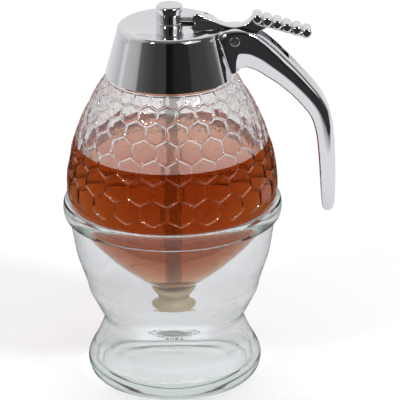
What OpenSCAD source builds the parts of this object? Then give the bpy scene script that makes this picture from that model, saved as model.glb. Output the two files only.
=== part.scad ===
// Honey dispenser: an egg-shaped glass jar with a honeycomb pattern stands in a
// glass holder. Its screw cap carries a curved handle and a thumb lever. Pressing
// the lever lifts a knob, a rod and the stopper that closes the outlet below.
// Millimetres, +Z up. The origin is the centre of the foot on the table, and the
// handle points along +X.

/* [Glass stand] */
// Height of the stand's rim above the table
stand_h = 73.1; // [68:0.1:78]
// Radial width of the rounded lip outside the mouth
lip_w = 2.1; // [1.4:0.1:3]
// Height of the rounded lip
lip_h = 7; // [5:0.5:9]
// Radius of the bowl at the step above the waist
step_r = 33.4; // [31.4:0.1:35]
// Height of the step above the table
step_z = 37.4; // [35:0.1:40]
// Radius of the waist
waist_r = 27.3; // [25:0.1:29]
// Height of the waist above the table
waist_z = 22.7; // [20:0.1:25]
// Largest radius of the foot
foot_r = 33.9; // [32:0.1:37]
// Height of the foot's widest ring
foot_z = 6.3; // [5:0.1:8]
// Radius of the flat face that stands on the table
base_r = 31.3; // [29:0.1:31.8]
// Wall of the stand
stand_wall = 2.6; // [2:0.1:3.2]
// Thickness of the glass under the hollow foot
base_t = 5; // [3.5:0.1:7]

/* [Jar] */
// Largest radius of the jar, over the honeycomb ridges
belly_r = 41; // [38:0.1:43]
// Height of that radius above the stand's rim
belly_above_rim = 5; // [3:0.1:7]
// Height from the belly up to the shoulder under the cap
egg_h = 45.3; // [42:0.1:49]
// Radius of the jar where it goes under the cap
shoulder_r = 24.9; // [24:0.1:25.4]
// Height from the belly down to the end of the funnel
bowl_h = 42; // [39:0.1:44]
// Outer radius at the end of the funnel
funnel_r = 8; // [7.4:0.1:9]
// Roundness of the upper half, 2 being a parabola
upper_power = 1.9; // [1.7:0.05:2.2]
// Roundness of the lower half
lower_power = 1.75; // [1.6:0.05:2]
// Wall of the jar
jar_wall = 3; // [2.4:0.1:3.4]
// Radius of the neck at the root of its thread
neck_r = 16.6; // [16:0.1:16.8]
// Wall of the neck
neck_wall = 2.4; // [1.8:0.1:3]
// Height of the neck above the shoulder
neck_h = 12.9; // [12:0.1:13.4]
// Outer radius of the glass spout under the funnel
spout_r = 5.9; // [5.6:0.1:6.4]
// Radius of the outlet bore
outlet_r = 4.6; // [4.2:0.1:4.8]
// Length of the spout below the funnel
spout_l = 5.6; // [4.5:0.1:6.5]

/* [Honeycomb] */
// Cells in one row round the jar
cells = 24; // [20:1:28]
// Rows of cells
cell_rows = 7; // [4:1:7]
// Height of the first row's middle above the belly
first_row = 2.8; // [2:0.1:4]
// Row pitch as a share of the cell's width
row_share = 0.775; // [0.7:0.005:0.85]
// Depth of a cell at its middle
cell_depth = 0.65; // [0.4:0.05:0.9]
// Width of the ridge between two cells
ridge_w = 0.9; // [0.6:0.1:1.4]
// Turn of the pattern about the jar's axis
cell_phase = -85.8; // [-95:0.1:-80]

/* [Screw thread] */
// Rise of the thread in one turn
thread_pitch = 4; // [3.6:0.1:4.4]
// Turns of thread on the neck
thread_turns = 1.25; // [1:0.05:1.4]
// Depth of the thread
thread_depth = 1.1; // [0.9:0.05:1.2]
// Clearance between the threads
thread_gap = 0.3; // [0.2:0.05:0.4]

/* [Cap] */
// Gap between the jar's shoulder and the cap's rim
rim_gap = 0.8; // [0.6:0.1:1.2]
// Outer radius of the cap at its rim
rim_r = 25.1; // [24.8:0.1:26]
// Outer radius of the cap where its side meets the rounded crest
crest_r = 20.3; // [20:0.1:21]
// Radius that rounds the crest
crest_round = 2; // [1.5:0.1:2.4]
// Depth of the dished top below the crest
dish_depth = 3.4; // [2.8:0.1:3.8]
// Wall of the cap's side
cap_wall = 1.8; // [1.5:0.1:2]
// Thickness of the cap's top plate
plate_t = 2.2; // [1.8:0.1:2.4]
// Thickness of the sealing ring
gasket_t = 1.5; // [1.2:0.1:1.8]

/* [Handle] */
// Distance from the jar's axis to the back of the handle
handle_reach = 63.4; // [60:0.1:68]
// Height of the handle from its top to its tip
handle_drop = 76.1; // [70:0.1:80]
// Width of the handle
handle_w = 12.4; // [11.6:0.1:14]
// Thickness of the handle at the grip
grip_t = 6.2; // [5.6:0.1:7]
// Width of the slot for the lever
slot_w = 6; // [5.6:0.1:6.4]

/* [Lever] */
// Distance from the jar's axis to the lever's pin
pivot_x = 24.7; // [24.2:0.1:25.2]
// Depth of the pin below the top of the cap's plate
pivot_drop = 2.1; // [1.8:0.1:2.4]
// Radius of the lever's pin
pin_r = 1.5; // [1.2:0.05:1.6]
// Width of the lever inside the slot
lever_w = 5.2; // [4.8:0.1:5.4]
// Width of the thumb pad
pad_w = 8; // [7:0.1:10]
// Round ribs across the thumb pad
ribs = 6; // [5:1:7]
// Radius of a rib
rib_r = 1.95; // [1.7:0.05:2.1]
// Distance between ribs
rib_pitch = 3.94; // [3.7:0.01:4.2]
// Slope of the thumb pad
pad_slope = 17.7; // [14:0.1:20]
// Thickness of a fork prong
prong_t = 1; // [0.8:0.05:1.05]
// Height of a fork prong
prong_h = 2; // [1.6:0.1:2.2]

/* [Valve] */
// Radius of the valve rod
rod_r = 2.5; // [2.3:0.05:2.6]
// Radius of the rod's neck between the fork's prongs
rod_neck_r = 1.6; // [1.4:0.05:1.65]
// Radius of the lift knob
knob_r = 5.15; // [4.8:0.05:5.5]
// Height of the lift knob
knob_h = 7.1; // [6.4:0.1:8]
// Radius of the guide collar under the knob
collar_r = 5.2; // [4.8:0.05:5.6]
// Height of the guide collar above the cap's plate
collar_h = 4; // [3.8:0.1:4.3]
// Radius of the collar's threaded stem
stem_r = 3.6; // [3.3:0.1:4]
// Running clearance of the rod in its guide
rod_gap = 0.05; // [0.03:0.01:0.1]
// Wire of the return spring
spring_wire = 0.7; // [0.6:0.05:0.9]
// Mean radius of the return spring
spring_r = 4.3; // [4.1:0.1:4.6]
// Coils of the return spring
spring_coils = 7; // [5:1:8]
// Length of the return spring as fitted
spring_l = 13; // [12:0.5:15]
// Largest radius of the stopper
stopper_r = 6.9; // [6.4:0.1:7.2]
// Height of the stopper above its cone
stopper_h = 3; // [2.4:0.1:4]
// Outer radius of the soft nozzle's rings
nozzle_r = 8.6; // [8:0.1:9.2]
// Height of the soft nozzle
nozzle_h = 8.2; // [7.4:0.1:9]

/* [Hidden] */
$fn = 96;

// Clearances between bodies and the small allowances for cuts
seat_gap = 0.15;   // jar to the stand's mouth
seal_gap = 0.1;    // gasket to the glass and to the cap
valve_gap = 0.12;  // stopper to its seat, at rest
fork_gap = 0.2;    // prong to the knob's slot
pin_gap = 0.06;    // running clearance of the lever on its pin
cut = 1;           // how far a cutting solid runs past a face

// Levels up the axis
belly_z = stand_h + belly_above_rim;
shoulder_z = belly_z + egg_h;
funnel_z = belly_z - bowl_h;
neck_top = shoulder_z + neck_h;
plate_bottom = neck_top + gasket_t + 2 * seal_gap;
plate_top = plate_bottom + plate_t;
rim_z = shoulder_z + rim_gap;
crest_z = plate_top + dish_depth;
cap_h = crest_z - rim_z;
collar_top = plate_top + collar_h;
pivot_z = plate_top - pivot_drop;

// Shared widths of the lever's nose, the knob's slot and the collar's notch
prong_z = collar_top + 0.25;
prong_y = lever_w / 2 + 0.2;
mouth_w = 2 * (prong_y + fork_gap);
mouth_x = -1.6;
prong_tip_x = -1;
nose_x = 8.3;
knob_bottom = collar_top + 0.15;
mouth_top = prong_z + prong_h / 2 + fork_gap;

// Radius of the jar's outside at height z, between the funnel's end and the shoulder
function egg_r(z) = z >= belly_z
    ? shoulder_r + (belly_r - shoulder_r) * (1 - pow((z - belly_z) / egg_h, upper_power))
    : funnel_r + (belly_r - funnel_r) * (1 - pow((belly_z - z) / bowl_h, lower_power));
// Change of that radius for each millimetre of height
function egg_slope(z) = (egg_r(z + 0.05) - egg_r(z - 0.05)) / 0.1;
// Point of the jar's outside at height z, moved inwards by depth d
function egg_point(z, d = 0) =
    let (m = egg_slope(z), l = sqrt(1 + m * m)) [egg_r(z) - d / l, z + d * m / l];

// Point of a smooth curve through points p at place t, 0 at the first point
function curve_at(p, t) =
    let (
        i = min(floor(t), len(p) - 2), f = t - i,
        a = p[max(i - 1, 0)], b = p[i], c = p[i + 1], d = p[min(i + 2, len(p) - 1)]
    )
    0.5 * (2 * b + (c - a) * f + (2 * a - 5 * b + 4 * c - d) * f * f
        + (3 * b - a - 3 * c + d) * f * f * f);
// The same curve as a list, with n steps between two points
function curve(p, n) = [for (k = [0 : (len(p) - 1) * n]) curve_at(p, k / n)];
// Arc of radius r about c, from angle a to angle b in n steps
function arc(c, r, a, b, n = 8) = [for (k = [0 : n]) c + r * [cos(a + (b - a) * k / n), sin(a + (b - a) * k / n)]];

// ---------- Glass stand ----------
mouth_r = egg_r(stand_h) + seat_gap;
lip_r = mouth_r + lip_w;
lip_low = stand_h - lip_h;
wall_in = [stand_wall, 0];

foot_line = [
    [base_r, 0], [foot_r - 0.9, foot_z * 0.35], [foot_r, foot_z], [foot_r - 1.3, foot_z + 4],
    [waist_r + 2.6, waist_z - 7.4], [waist_r, waist_z], [waist_r + 2.2, waist_z + 5.6],
    [step_r - 0.8, step_z - 3], [step_r, step_z - 0.4]
];
bowl_line = [
    [step_r + 0.1, step_z + 0.6], [step_r + 2, step_z + 6.6], [step_r + 4.1, step_z + 12.8],
    [lip_r - 3.4, lip_low - 7], [lip_r - 2.4, lip_low]
];
module stand_outline() {
    outer = concat(curve(foot_line, 5), curve(bowl_line, 4));
    inner = [for (k = [len(outer) - 1 : -1 : 0]) if (outer[k][1] > base_t + 1.2) outer[k] - wall_in];
    floor_r = curve_at(foot_line, 2)[0] - stand_wall;
    lip = arc([lip_r - lip_h / 2, lip_low + lip_h / 2], lip_h / 2, -55, 70);
    polygon(concat(
        [[0, 0]], outer, lip, [[mouth_r + 0.5, stand_h], [mouth_r, stand_h - 0.5], [mouth_r - 0.6, lip_low]],
        inner, [[floor_r - 2, base_t], [0, base_t]]
    ));
}
module glass_stand() {
    color([0.86, 0.92, 0.9, 0.45]) rotate_extrude() stand_outline();
}

// ---------- Glass jar ----------
seat_z = funnel_z + jar_wall * 0.5;
seat_rise = 0.75;  // rise of the valve seat for each millimetre of radius
seat_top_r = outlet_r + 3;
neck_bore = neck_r - neck_wall;
jar_step = 2;

module jar_outline() {
    low = [for (z = [funnel_z : jar_step : belly_z - 0.6]) egg_point(z)];
    high = [for (k = [0 : 22]) egg_point(belly_z + egg_h * k / 22)];
    neck = [
        [shoulder_r - 0.5, shoulder_z + 0.3], [shoulder_r - 3, shoulder_z + 0.45],
        [neck_r + 1.4, shoulder_z + 0.8], [neck_r, shoulder_z + 1.8],
        [neck_r, neck_top - 0.6], [neck_r - 0.6, neck_top],
        [neck_bore + 0.6, neck_top], [neck_bore, neck_top - 0.6], [neck_bore, shoulder_z - 0.6]
    ];
    high_in = [for (k = [20 : -1 : 0]) egg_point(belly_z + egg_h * k / 22, jar_wall)];
    low_in = [for (z = [belly_z - jar_step : -jar_step : funnel_z + 6]) egg_point(z, jar_wall)];
    polygon(concat(
        [[outlet_r, funnel_z - spout_l], [spout_r, funnel_z - spout_l], [spout_r, funnel_z - 0.2]],
        low, high, neck, high_in, low_in,
        [[seat_top_r, seat_z + seat_rise * (seat_top_r - outlet_r)], [outlet_r, seat_z]]
    ));
}

// Height of the middle of row i: each row stands a share of a cell's width above the last
function row_z(i) = i == 0 ? belly_z + first_row
    : let (z = row_z(i - 1), m = egg_slope(z))
      z + row_share * 2 * PI * egg_r(z) / cells / sqrt(1 + m * m);
// One row of six-sided cells, each with a flat floor square to the jar's wall
module cell_row(i) {
    z = row_z(i);
    width = 2 * PI * egg_r(z) / cells - ridge_w;
    tall = (2 * PI * egg_r(z) / cells * row_share - ridge_w * 0.78) / 0.75;
    floor_at = egg_point(z, cell_depth);
    for (k = [0 : cells - 1])
        rotate([0, 0, cell_phase + (k + (i % 2) / 2) * 360 / cells])
            translate([floor_at[0], 0, floor_at[1]])
                rotate([0, atan(egg_slope(z)), 0])
                    rotate([90, 0, 90]) linear_extrude(4) polygon([
                        [0, tall / 2], [-width / 2, tall / 4], [-width / 2, -tall / 4],
                        [0, -tall / 2], [width / 2, -tall / 4], [width / 2, tall / 4]
                    ]);
}

// Helical ridge from radius root to radius crest. It fades out at both ends
module thread(root, crest, z0, turns) {
    steps = round(36 * turns);
    fade = 4;
    w_root = thread_pitch * 0.5 - thread_gap;
    w_crest = w_root * 0.45;
    ring = [for (k = [0 : steps])
        let (
            a = 360 * turns * k / steps, z = z0 + thread_pitch * turns * k / steps,
            s = min(1, (k + 0.4) / fade, (steps - k + 0.4) / fade), r = root + (crest - root) * s,
            d = [cos(a), sin(a)]
        )
        each [
            [root * d[0], root * d[1], z - w_root / 2], [r * d[0], r * d[1], z - w_crest / 2],
            [r * d[0], r * d[1], z + w_crest / 2], [root * d[0], root * d[1], z + w_root / 2]
        ]];
    out = crest > root;
    sides = [for (k = [0 : steps - 1], j = [0 : 3])
        let (a = 4 * k + j, b = 4 * k + (j + 1) % 4)
        each (out ? [[a, b, a + 4], [b, b + 4, a + 4]] : [[a, a + 4, b], [b, a + 4, b + 4]])];
    first = out ? [3, 2, 1, 0] : [0, 1, 2, 3];
    last = [for (j = out ? [0, 1, 2, 3] : [3, 2, 1, 0]) 4 * steps + j];
    polyhedron(ring, concat(sides, [first, last]));
}
thread_z = shoulder_z + 3.4;
bite = 0.25;  // how deep a thread's root lies in its wall

module glass_jar() {
    color([0.9, 0.93, 0.93, 0.4]) difference() {
        union() {
            rotate_extrude() jar_outline();
            thread(neck_r - bite, neck_r + thread_depth, thread_z, thread_turns);
        }
        for (i = [0 : cell_rows - 1]) cell_row(i);
    }
}

// Soft nozzle pressed on the glass spout, drawn in at the middle like a spool
module outlet_nozzle() {
    top = funnel_z - 0.2;
    low = top - nozzle_h;
    ring = 1.4;
    color([0.8, 0.75, 0.6]) rotate_extrude() polygon(concat(
        [[outlet_r - 0.8, low], [nozzle_r - 0.4, low], [nozzle_r, low + 0.5]],
        curve([[nozzle_r, low + ring], [nozzle_r - 1.7, low + nozzle_h / 2], [nozzle_r, top - ring]], 6),
        [[nozzle_r, top], [spout_r, top], [spout_r, funnel_z - spout_l],
         [outlet_r, funnel_z - spout_l], [outlet_r - 0.8, funnel_z - spout_l - 0.8]]
    ));
}

// ---------- Cap and handle ----------
side_rise = (rim_r - crest_r) / (cap_h - crest_round);
function side_r(z) = rim_r - side_rise * (z - rim_z);
liner_bore = neck_r + thread_depth + thread_gap;

module cap_outline() {
    crest = [crest_r - crest_round, crest_z - crest_round];
    flat = [collar_r + 0.8, plate_top];
    across = crest - flat;
    lean = atan2(across[1], across[0]) + asin(crest_round / norm(across));
    polygon(concat(
        [[side_r(rim_z) - cap_wall, rim_z], [rim_r - 0.4, rim_z], [rim_r, rim_z + 0.5]],
        arc(crest, crest_round, atan(side_rise), 90 + lean, 10),
        [flat, [0, plate_top], [0, plate_bottom], [side_r(plate_bottom) - cap_wall, plate_bottom]]
    ));
}

// Handle from inside the cap's wall to the tip: its middle as shares of its reach and
// drop, then half its depth and half its width as shares of the grip's and of its own
handle_line = [
    [0.005, 0.114, 2.79, 1.6], [0.046, 0.114, 2.79, 1.6], [0.066, 0.114, 2.79, 1.56],
    [0.092, 0.114, 2.79, 1.39], [0.125, 0.114, 2.79, 1.21], [0.162, 0.107, 2.63, 1.08],
    [0.22, 0.104, 2.53, 1.01], [0.275, 0.108, 2.37, 1], [0.338, 0.118, 2.21, 1],
    [0.437, 0.15, 1.98, 1], [0.54, 0.198, 1.76, 1], [0.646, 0.251, 1.56, 1],
    [0.756, 0.316, 1.4, 1], [0.851, 0.381, 1.32, 1], [0.922, 0.447, 1.21, 1],
    [0.962, 0.52, 1.15, 1], [0.982, 0.603, 1.1, 1], [0.993, 0.715, 1.03, 1],
    [0.999, 0.847, 0.95, 0.98], [1, 0.945, 0.8, 0.86], [1, 0.983, 0.54, 0.66], [1, 1, 0.15, 0.3]
];
handle_x0 = crest_r - 3.3;
handle_top = plate_top + 2.2;
function handle_at(t) = let (p = curve_at(handle_line, t)) [
    handle_x0 + p[0] * (handle_reach - grip_t / 2 - handle_x0),
    handle_top - p[1] * handle_drop, p[2] * grip_t / 2, p[3] * handle_w / 2];
// Unit vector square to the handle's run, towards its outside. At the root it leans as the cap's side does
function handle_side(t) = let (
    a = handle_at(max(t - 0.2, 4)), b = handle_at(min(max(t, 5) + 0.2, len(handle_line) - 1)),
    run = [b[0] - a[0], b[1] - a[1]] / norm([b[0] - a[0], b[1] - a[1]]),
    s = min(1, max(0, (t - 4) / 3)), m = [-run[1], run[0]] * s + [-side_rise, 1] * (1 - s))
    m / norm(m);
// Cross-section: flat above with rounded corners, full below. It's squarer at the root
function section(t) = let (
    c = handle_at(t), n = handle_side(t), h = c[2], w = c[3],
    s = min(1, max(0, (t - 4) / 4)), far = min(1, max(0, (t - 7) / 2)),
    r = min(2.4 - 1.7 * s + 0.9 * far, 0.5 * h, 0.5 * w),
    top = [[w, 0.1 * h], [w, h - r], [w - 0.29 * r, h - 0.29 * r], [w - r, h], [(w - r) / 2, h]],
    low = [for (a = [81 : -18 : 9])
        [w * pow(cos(a), 0.3 + 0.5 * s), -h * (0.1 + 0.9 * pow(sin(a), 0.35 + 0.55 * s))]],
    half = concat(low, top),
    ring = concat(half, [for (k = [len(half) - 1 : -1 : 0]) [-half[k][0], half[k][1]]]))
    [for (q = ring) [c[0] + n[0] * q[1], q[0], c[1] + n[1] * q[1]]];
module handle() {
    sides = 20;
    per = 2;
    rings = (len(handle_line) - 1) * per;
    points = [for (k = [0 : rings]) each section(k / per)];
    skin = [for (k = [0 : rings - 1], j = [0 : sides - 1])
        let (a = k * sides + j, b = k * sides + (j + 1) % sides)
        each [[a, a + sides, b], [b, a + sides, b + sides]]];
    polyhedron(points, concat(
        skin, [[for (j = [0 : sides - 1]) j]], [[for (j = [sides - 1 : -1 : 0]) rings * sides + j]]));
}
// Soft saddle where the crest dips to the handle's top
module saddle() {
    rise = 0.1;
    translate([collar_r + 3.3, 0, plate_top + 0.75]) rotate([0, -atan(rise), 0])
        rotate([90, 0, 90]) linear_extrude(crest_r) polygon([
            [-3.2, 0], [3.2, 0], [6, 0.25], [9, 0.8], [12, 1.8], [12, 9], [-12, 9], [-12, 1.8],
            [-9, 0.8], [-6, 0.25]
        ]);
}
slot_end = 10.35;    // place of the slot's end along handle_line
slot_x = pivot_x - 3.5;
slot_floor = plate_top + 0.5;
module lever_slot() {
    floor_line = [for (t = [6 : 0.5 : slot_end + 0.15]) let (c = handle_at(t), n = handle_side(t))
        [c[0], c[1]] + n * c[2] * 0.1];
    e = handle_at(slot_end);
    top = crest_z + 4;
    rotate([90, 0, 0]) linear_extrude(slot_w, center = true) polygon(concat(
        [[nose_x - 1, top], [nose_x - 1, slot_floor], [slot_x, slot_floor], [slot_x, pivot_z - 3.9],
         [pivot_x + 1, pivot_z - 3.9]],
        floor_line,
        [[e[0], e[1]] + handle_side(slot_end) * e[2] * 1.2, [e[0] + 6, top]]
    ));
}
head_r = pin_r + 0.45;
head_t = 0.8;
head_y = handle_w / 2 - 0.5;
// Solid of revolution that the handle has to stay out of: the cap's hollow and the dish
module cap_hollow() {
    rotate_extrude() polygon([
        [0, rim_z - 12], [side_r(rim_z) - cap_wall, rim_z - 12], [side_r(rim_z) - cap_wall, rim_z],
        [side_r(plate_bottom) - cap_wall, plate_bottom], [0, plate_bottom]
    ]);
}
module cap_shell() {
    color([0.75, 0.76, 0.78]) difference() {
        union() {
            rotate_extrude() cap_outline();
            difference() {
                handle();
                cap_hollow();
                translate([0, 0, plate_top - 0.5]) cylinder(h = 12, r = crest_r - crest_round);
            }
        }
        lever_slot();
        saddle();
        cylinder(h = crest_z + cut, r = stem_r);
        translate([pivot_x, 0, pivot_z]) rotate([90, 0, 0]) {
            cylinder(h = handle_w + 2 * cut, r = pin_r, center = true);
            translate([0, 0, head_y]) cylinder(h = 3, r = head_r);
        }
    }
}

// Threaded plastic ring that fills the cap's hollow round the neck
module thread_liner() {
    low = rim_z + 1.4;
    color([0.92, 0.92, 0.9]) difference() {
        union() {
            rotate_extrude() polygon([
                [liner_bore, low], [side_r(low) - cap_wall, low],
                [side_r(plate_bottom) - cap_wall, plate_bottom], [liner_bore, plate_bottom]
            ]);
            thread(liner_bore + bite, neck_r + thread_gap, thread_z + thread_pitch / 2 - 0.02, 1);
        }
    }
}
module cap_gasket() {
    color([0.9, 0.89, 0.84]) translate([0, 0, neck_top + seal_gap]) difference() {
        cylinder(h = gasket_t, r = liner_bore - 0.25);
        translate([0, 0, -cut]) cylinder(h = gasket_t + 2 * cut, r = neck_bore + 0.3);
    }
}

// ---------- Guide of the rod ----------
nut_h = 3;
nut_flats = 10;
ring_z = plate_top + 1;   // level of the sealing ring
ring_wire = 0.5;
module guide_collar() {
    bore = rod_r + rod_gap;
    groove_r = bore + 2 * ring_wire + 0.05;
    stem_low = plate_bottom - nut_h;
    color([0.72, 0.73, 0.75]) difference() {
        rotate_extrude() polygon([
            [bore, stem_low], [stem_r, stem_low], [stem_r, plate_top], [collar_r, plate_top],
            [collar_r, collar_top - 0.3], [collar_r - 0.3, collar_top], [bore, collar_top],
            [bore, ring_z + ring_wire + 0.1], [groove_r, ring_z + ring_wire + 0.1],
            [groove_r, ring_z - ring_wire - 0.1], [bore, ring_z - ring_wire - 0.1]
        ]);
        translate([mouth_x, -mouth_w / 2, prong_z - prong_h / 2 - 0.3])
            cube([collar_r + 4, mouth_w, prong_h + 3]);
    }
}
module rod_seal() {
    color([0.15, 0.15, 0.15]) translate([0, 0, ring_z]) rotate_extrude()
        translate([rod_r + rod_gap + ring_wire, 0]) circle(r = ring_wire, $fn = 24);
}
module guide_nut() {
    color([0.7, 0.7, 0.66]) translate([0, 0, plate_bottom - nut_h]) difference() {
        cylinder(h = nut_h, r = nut_flats / sqrt(3), $fn = 6);
        translate([0, 0, -cut]) cylinder(h = nut_h + 2 * cut, r = stem_r);
    }
}

// ---------- Valve rod and what it carries ----------
stopper_low = seat_z + valve_gap;
cone_h = seat_rise * (stopper_r - outlet_r + 0.3);
rod_low = stopper_low + 1.6;
rod_top = knob_bottom + knob_h - 2;
spring_top = plate_bottom - nut_h - 0.02;
washer_t = 1;
clip_t = 0.8;
washer_z = spring_top - spring_l - washer_t;
clip_groove_r = rod_r - 0.6;
screw_r = 1.2;
module valve_rod() {
    neck_low = prong_z - prong_h / 2 - 0.85;
    clip_z = washer_z - clip_t;
    color([0.8, 0.8, 0.82]) difference() {
        rotate_extrude() polygon([
            [0, rod_low], [rod_r, rod_low], [rod_r, clip_z], [clip_groove_r, clip_z],
            [clip_groove_r, washer_z], [rod_r, washer_z], [rod_r, neck_low], [rod_neck_r, neck_low],
            [rod_neck_r, mouth_top], [rod_r, mouth_top], [rod_r, rod_top], [0, rod_top]
        ]);
        translate([0, 0, rod_low - cut]) cylinder(h = 7 + cut, r = screw_r);
    }
}
module lift_knob() {
    top = knob_bottom + knob_h;
    lip = 0.25;
    color([0.75, 0.76, 0.78]) difference() {
        rotate_extrude() polygon(concat(
            [[0, knob_bottom], [knob_r + lip, knob_bottom], [knob_r + lip, knob_bottom + 0.4],
             [knob_r, knob_bottom + 0.55]],
            arc([knob_r - 1, top - 1], 1, 0, 90, 5), [[0, top]]
        ));
        translate([0, 0, knob_bottom - cut]) cylinder(h = rod_top - knob_bottom + cut, r = rod_r);
        translate([mouth_x, -mouth_w / 2, knob_bottom - cut])
            cube([knob_r + 4, mouth_w, mouth_top - knob_bottom + cut]);
        translate([knob_r - 1.2, -mouth_w / 2, knob_bottom - cut])
            cube([4, mouth_w, knob_h - 2.6 + cut]);
    }
}
module spring_seat() {
    color([0.78, 0.78, 0.75]) translate([0, 0, washer_z]) difference() {
        cylinder(h = washer_t, r = spring_r + 1.6);
        translate([0, 0, -cut]) cylinder(h = washer_t + 2 * cut, r = rod_r);
    }
}
module retaining_clip() {
    color([0.5, 0.5, 0.5]) translate([0, 0, washer_z - clip_t]) difference() {
        cylinder(h = clip_t, r = rod_r + 1.5);
        translate([0, 0, -cut]) cylinder(h = clip_t + 2 * cut, r = clip_groove_r);
        translate([0, -clip_groove_r, -cut]) cube([rod_r + 3, 2 * clip_groove_r, clip_t + 2 * cut]);
    }
}
// Compression spring: one wire wound as a helix, its end coils wound close
module return_spring() {
    rings = spring_coils * 9;
    sides = 6;
    free = spring_l - spring_wire;
    close = spring_wire * 1.05 / free;
    function rise(u) = let (c = 1 / spring_coils) u < c ? close * u / c
        : u > 1 - c ? 1 - close * (1 - u) / c
        : close + (1 - 2 * close) * (u - c) / (1 - 2 * c);
    points = [for (k = [0 : rings]) let (u = k / rings, a = 360 * spring_coils * u)
        for (j = [0 : sides - 1]) let (
            b = 360 * j / sides, r = spring_r + spring_wire / 2 * cos(b),
            z = spring_wire / 2 + free * rise(u) + spring_wire / 2 * sin(b))
            [r * cos(a), r * sin(a), z]];
    skin = [for (k = [0 : rings - 1], j = [0 : sides - 1])
        let (a = k * sides + j, b = k * sides + (j + 1) % sides)
        each [[a, b, a + sides], [b, b + sides, a + sides]]];
    gap = (1 - 2 * close) * free / (spring_coils - 2) - spring_wire;
    echo(least_gap_between_open_coils = gap);
    color([0.6, 0.6, 0.62]) translate([0, 0, spring_top - spring_l]) polyhedron(points, concat(
        skin, [[for (j = [sides - 1 : -1 : 0]) j]], [[for (j = [0 : sides - 1]) rings * sides + j]]));
}
module valve_stopper() {
    cone_top = stopper_low + cone_h;
    color([0.3, 0.27, 0.24]) difference() {
        rotate_extrude() polygon([
            [0, stopper_low], [outlet_r - 0.3, stopper_low], [stopper_r, cone_top],
            [stopper_r, cone_top + stopper_h - 1], [stopper_r - 1, cone_top + stopper_h],
            [0, cone_top + stopper_h]
        ]);
        translate([0, 0, rod_low]) cylinder(h = 20, r = rod_r);
        translate([0, 0, stopper_low - cut]) cylinder(h = 4, r = screw_r);
    }
}
module stopper_screw() {
    head = 1.8;
    color([0.7, 0.7, 0.7]) difference() {
        translate([0, 0, stopper_low - head]) union() {
            cylinder(h = head, r = outlet_r - 1.3);
            cylinder(h = head + 6, r = screw_r);
        }
        translate([-0.4, -outlet_r, stopper_low - head - cut]) cube([0.8, 2 * outlet_r, 0.7 + cut]);
    }
}

// ---------- Lever ----------
rib_x = pivot_x + 8.8;
rib_z = pivot_z + 7.8;
lug_r = 3.1;
module lever_side() {
    pad_end = [rib_x, rib_z] + (ribs - 1) * rib_pitch * [cos(pad_slope), -sin(pad_slope)];
    down = rib_r * [-sin(pad_slope), -cos(pad_slope)];
    nose_low = slot_floor + 0.4;
    union() {
        polygon(concat(
            [[nose_x, nose_low + 1.2], [nose_x + 0.9, nose_low], [nose_x + 7.9, nose_low + 0.6],
             [pivot_x - 4.4, nose_low + 1.1], [pivot_x - 2.6, pivot_z + 1.4]],
            [[pivot_x + 2.6, pivot_z - 1], [pivot_x + 5.5, pivot_z + 0.4], [pivot_x + 8.6, pivot_z + 1.6],
             [pivot_x + 12.4, pivot_z + 4.2]],
            [[rib_x, rib_z] + down, [rib_x - 1.8, rib_z + 0.6]],
            curve([[rib_x - 3, pivot_z + 6.6], [pivot_x + 3.6, pivot_z + 5.3], [pivot_x + 1.4, pivot_z + 4.7],
                   [pivot_x - 0.6, pivot_z + 4.6], [pivot_x - 2.6, pivot_z + 5], [pivot_x - 6, pivot_z + 6.3],
                   [nose_x + 5.9, pivot_z + 8.4], [nose_x + 2.6, pivot_z + 10.1]], 3),
            [[nose_x + 1.8, pivot_z + 10.2], [nose_x + 0.8, pivot_z + 9.5], [nose_x, pivot_z + 7.8]]
        ));
        translate([pivot_x, pivot_z]) circle(r = lug_r);
    }
}
module thumb_pad() {
    run = (ribs - 1) * rib_pitch;
    translate([rib_x, 0, rib_z]) rotate([0, pad_slope, 0]) {
        for (k = [0 : ribs - 1]) translate([k * rib_pitch, 0, 0]) rotate([90, 0, 0])
            rotate_extrude() polygon(concat(
                [[0, -pad_w / 2], [rib_r - 0.6, -pad_w / 2], [rib_r, -pad_w / 2 + 0.6]],
                [[rib_r, pad_w / 2 - 0.6], [rib_r - 0.6, pad_w / 2], [0, pad_w / 2]]));
        translate([-0.4, -pad_w / 2 + 0.3, -rib_r + 0.1]) cube([run + 0.8, pad_w - 0.6, rib_r]);
    }
}
module thumb_lever() {
    color([0.75, 0.76, 0.78]) difference() {
        union() {
            rotate([90, 0, 0]) linear_extrude(lever_w, center = true) lever_side();
            thumb_pad();
            for (s = [-1, 1])
                translate([prong_tip_x, s > 0 ? prong_y - prong_t : -prong_y, prong_z - prong_h / 2])
                    cube([nose_x - prong_tip_x + 1, prong_t, prong_h]);
        }
        translate([pivot_x, 0, pivot_z]) rotate([90, 0, 0])
            cylinder(h = lever_w + 2 * cut, r = pin_r + pin_gap, center = true);
    }
}
module lever_pin() {
    color([0.6, 0.61, 0.63]) translate([pivot_x, 0, pivot_z]) rotate([90, 0, 0]) union() {
        translate([0, 0, -handle_w / 2 + 0.6]) cylinder(h = handle_w / 2 - 0.6 + head_y, r = pin_r);
        translate([0, 0, head_y]) cylinder(h = head_t, r = head_r);
    }
}

glass_stand();
glass_jar();
outlet_nozzle();
cap_gasket();
cap_shell();
thread_liner();
guide_collar();
guide_nut();
rod_seal();
lever_pin();
thumb_lever();
lift_knob();
valve_rod();
return_spring();
spring_seat();
retaining_clip();
valve_stopper();
stopper_screw();
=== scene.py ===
"""Dresses a honey dispenser: an egg-shaped glass jar with a honeycomb relief in a waisted glass holder.

Its chrome cap carries a curved handle and a thumb lever that lifts a rod and the stopper in the jar's outlet.
Sizes in the classes are millimetres, and the meshes are in metres, +Z up, the handle along +X.
"""

import logging
import math
from dataclasses import dataclass
from enum import Enum

import bmesh
import bpy
from mathutils import Matrix, Vector


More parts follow.
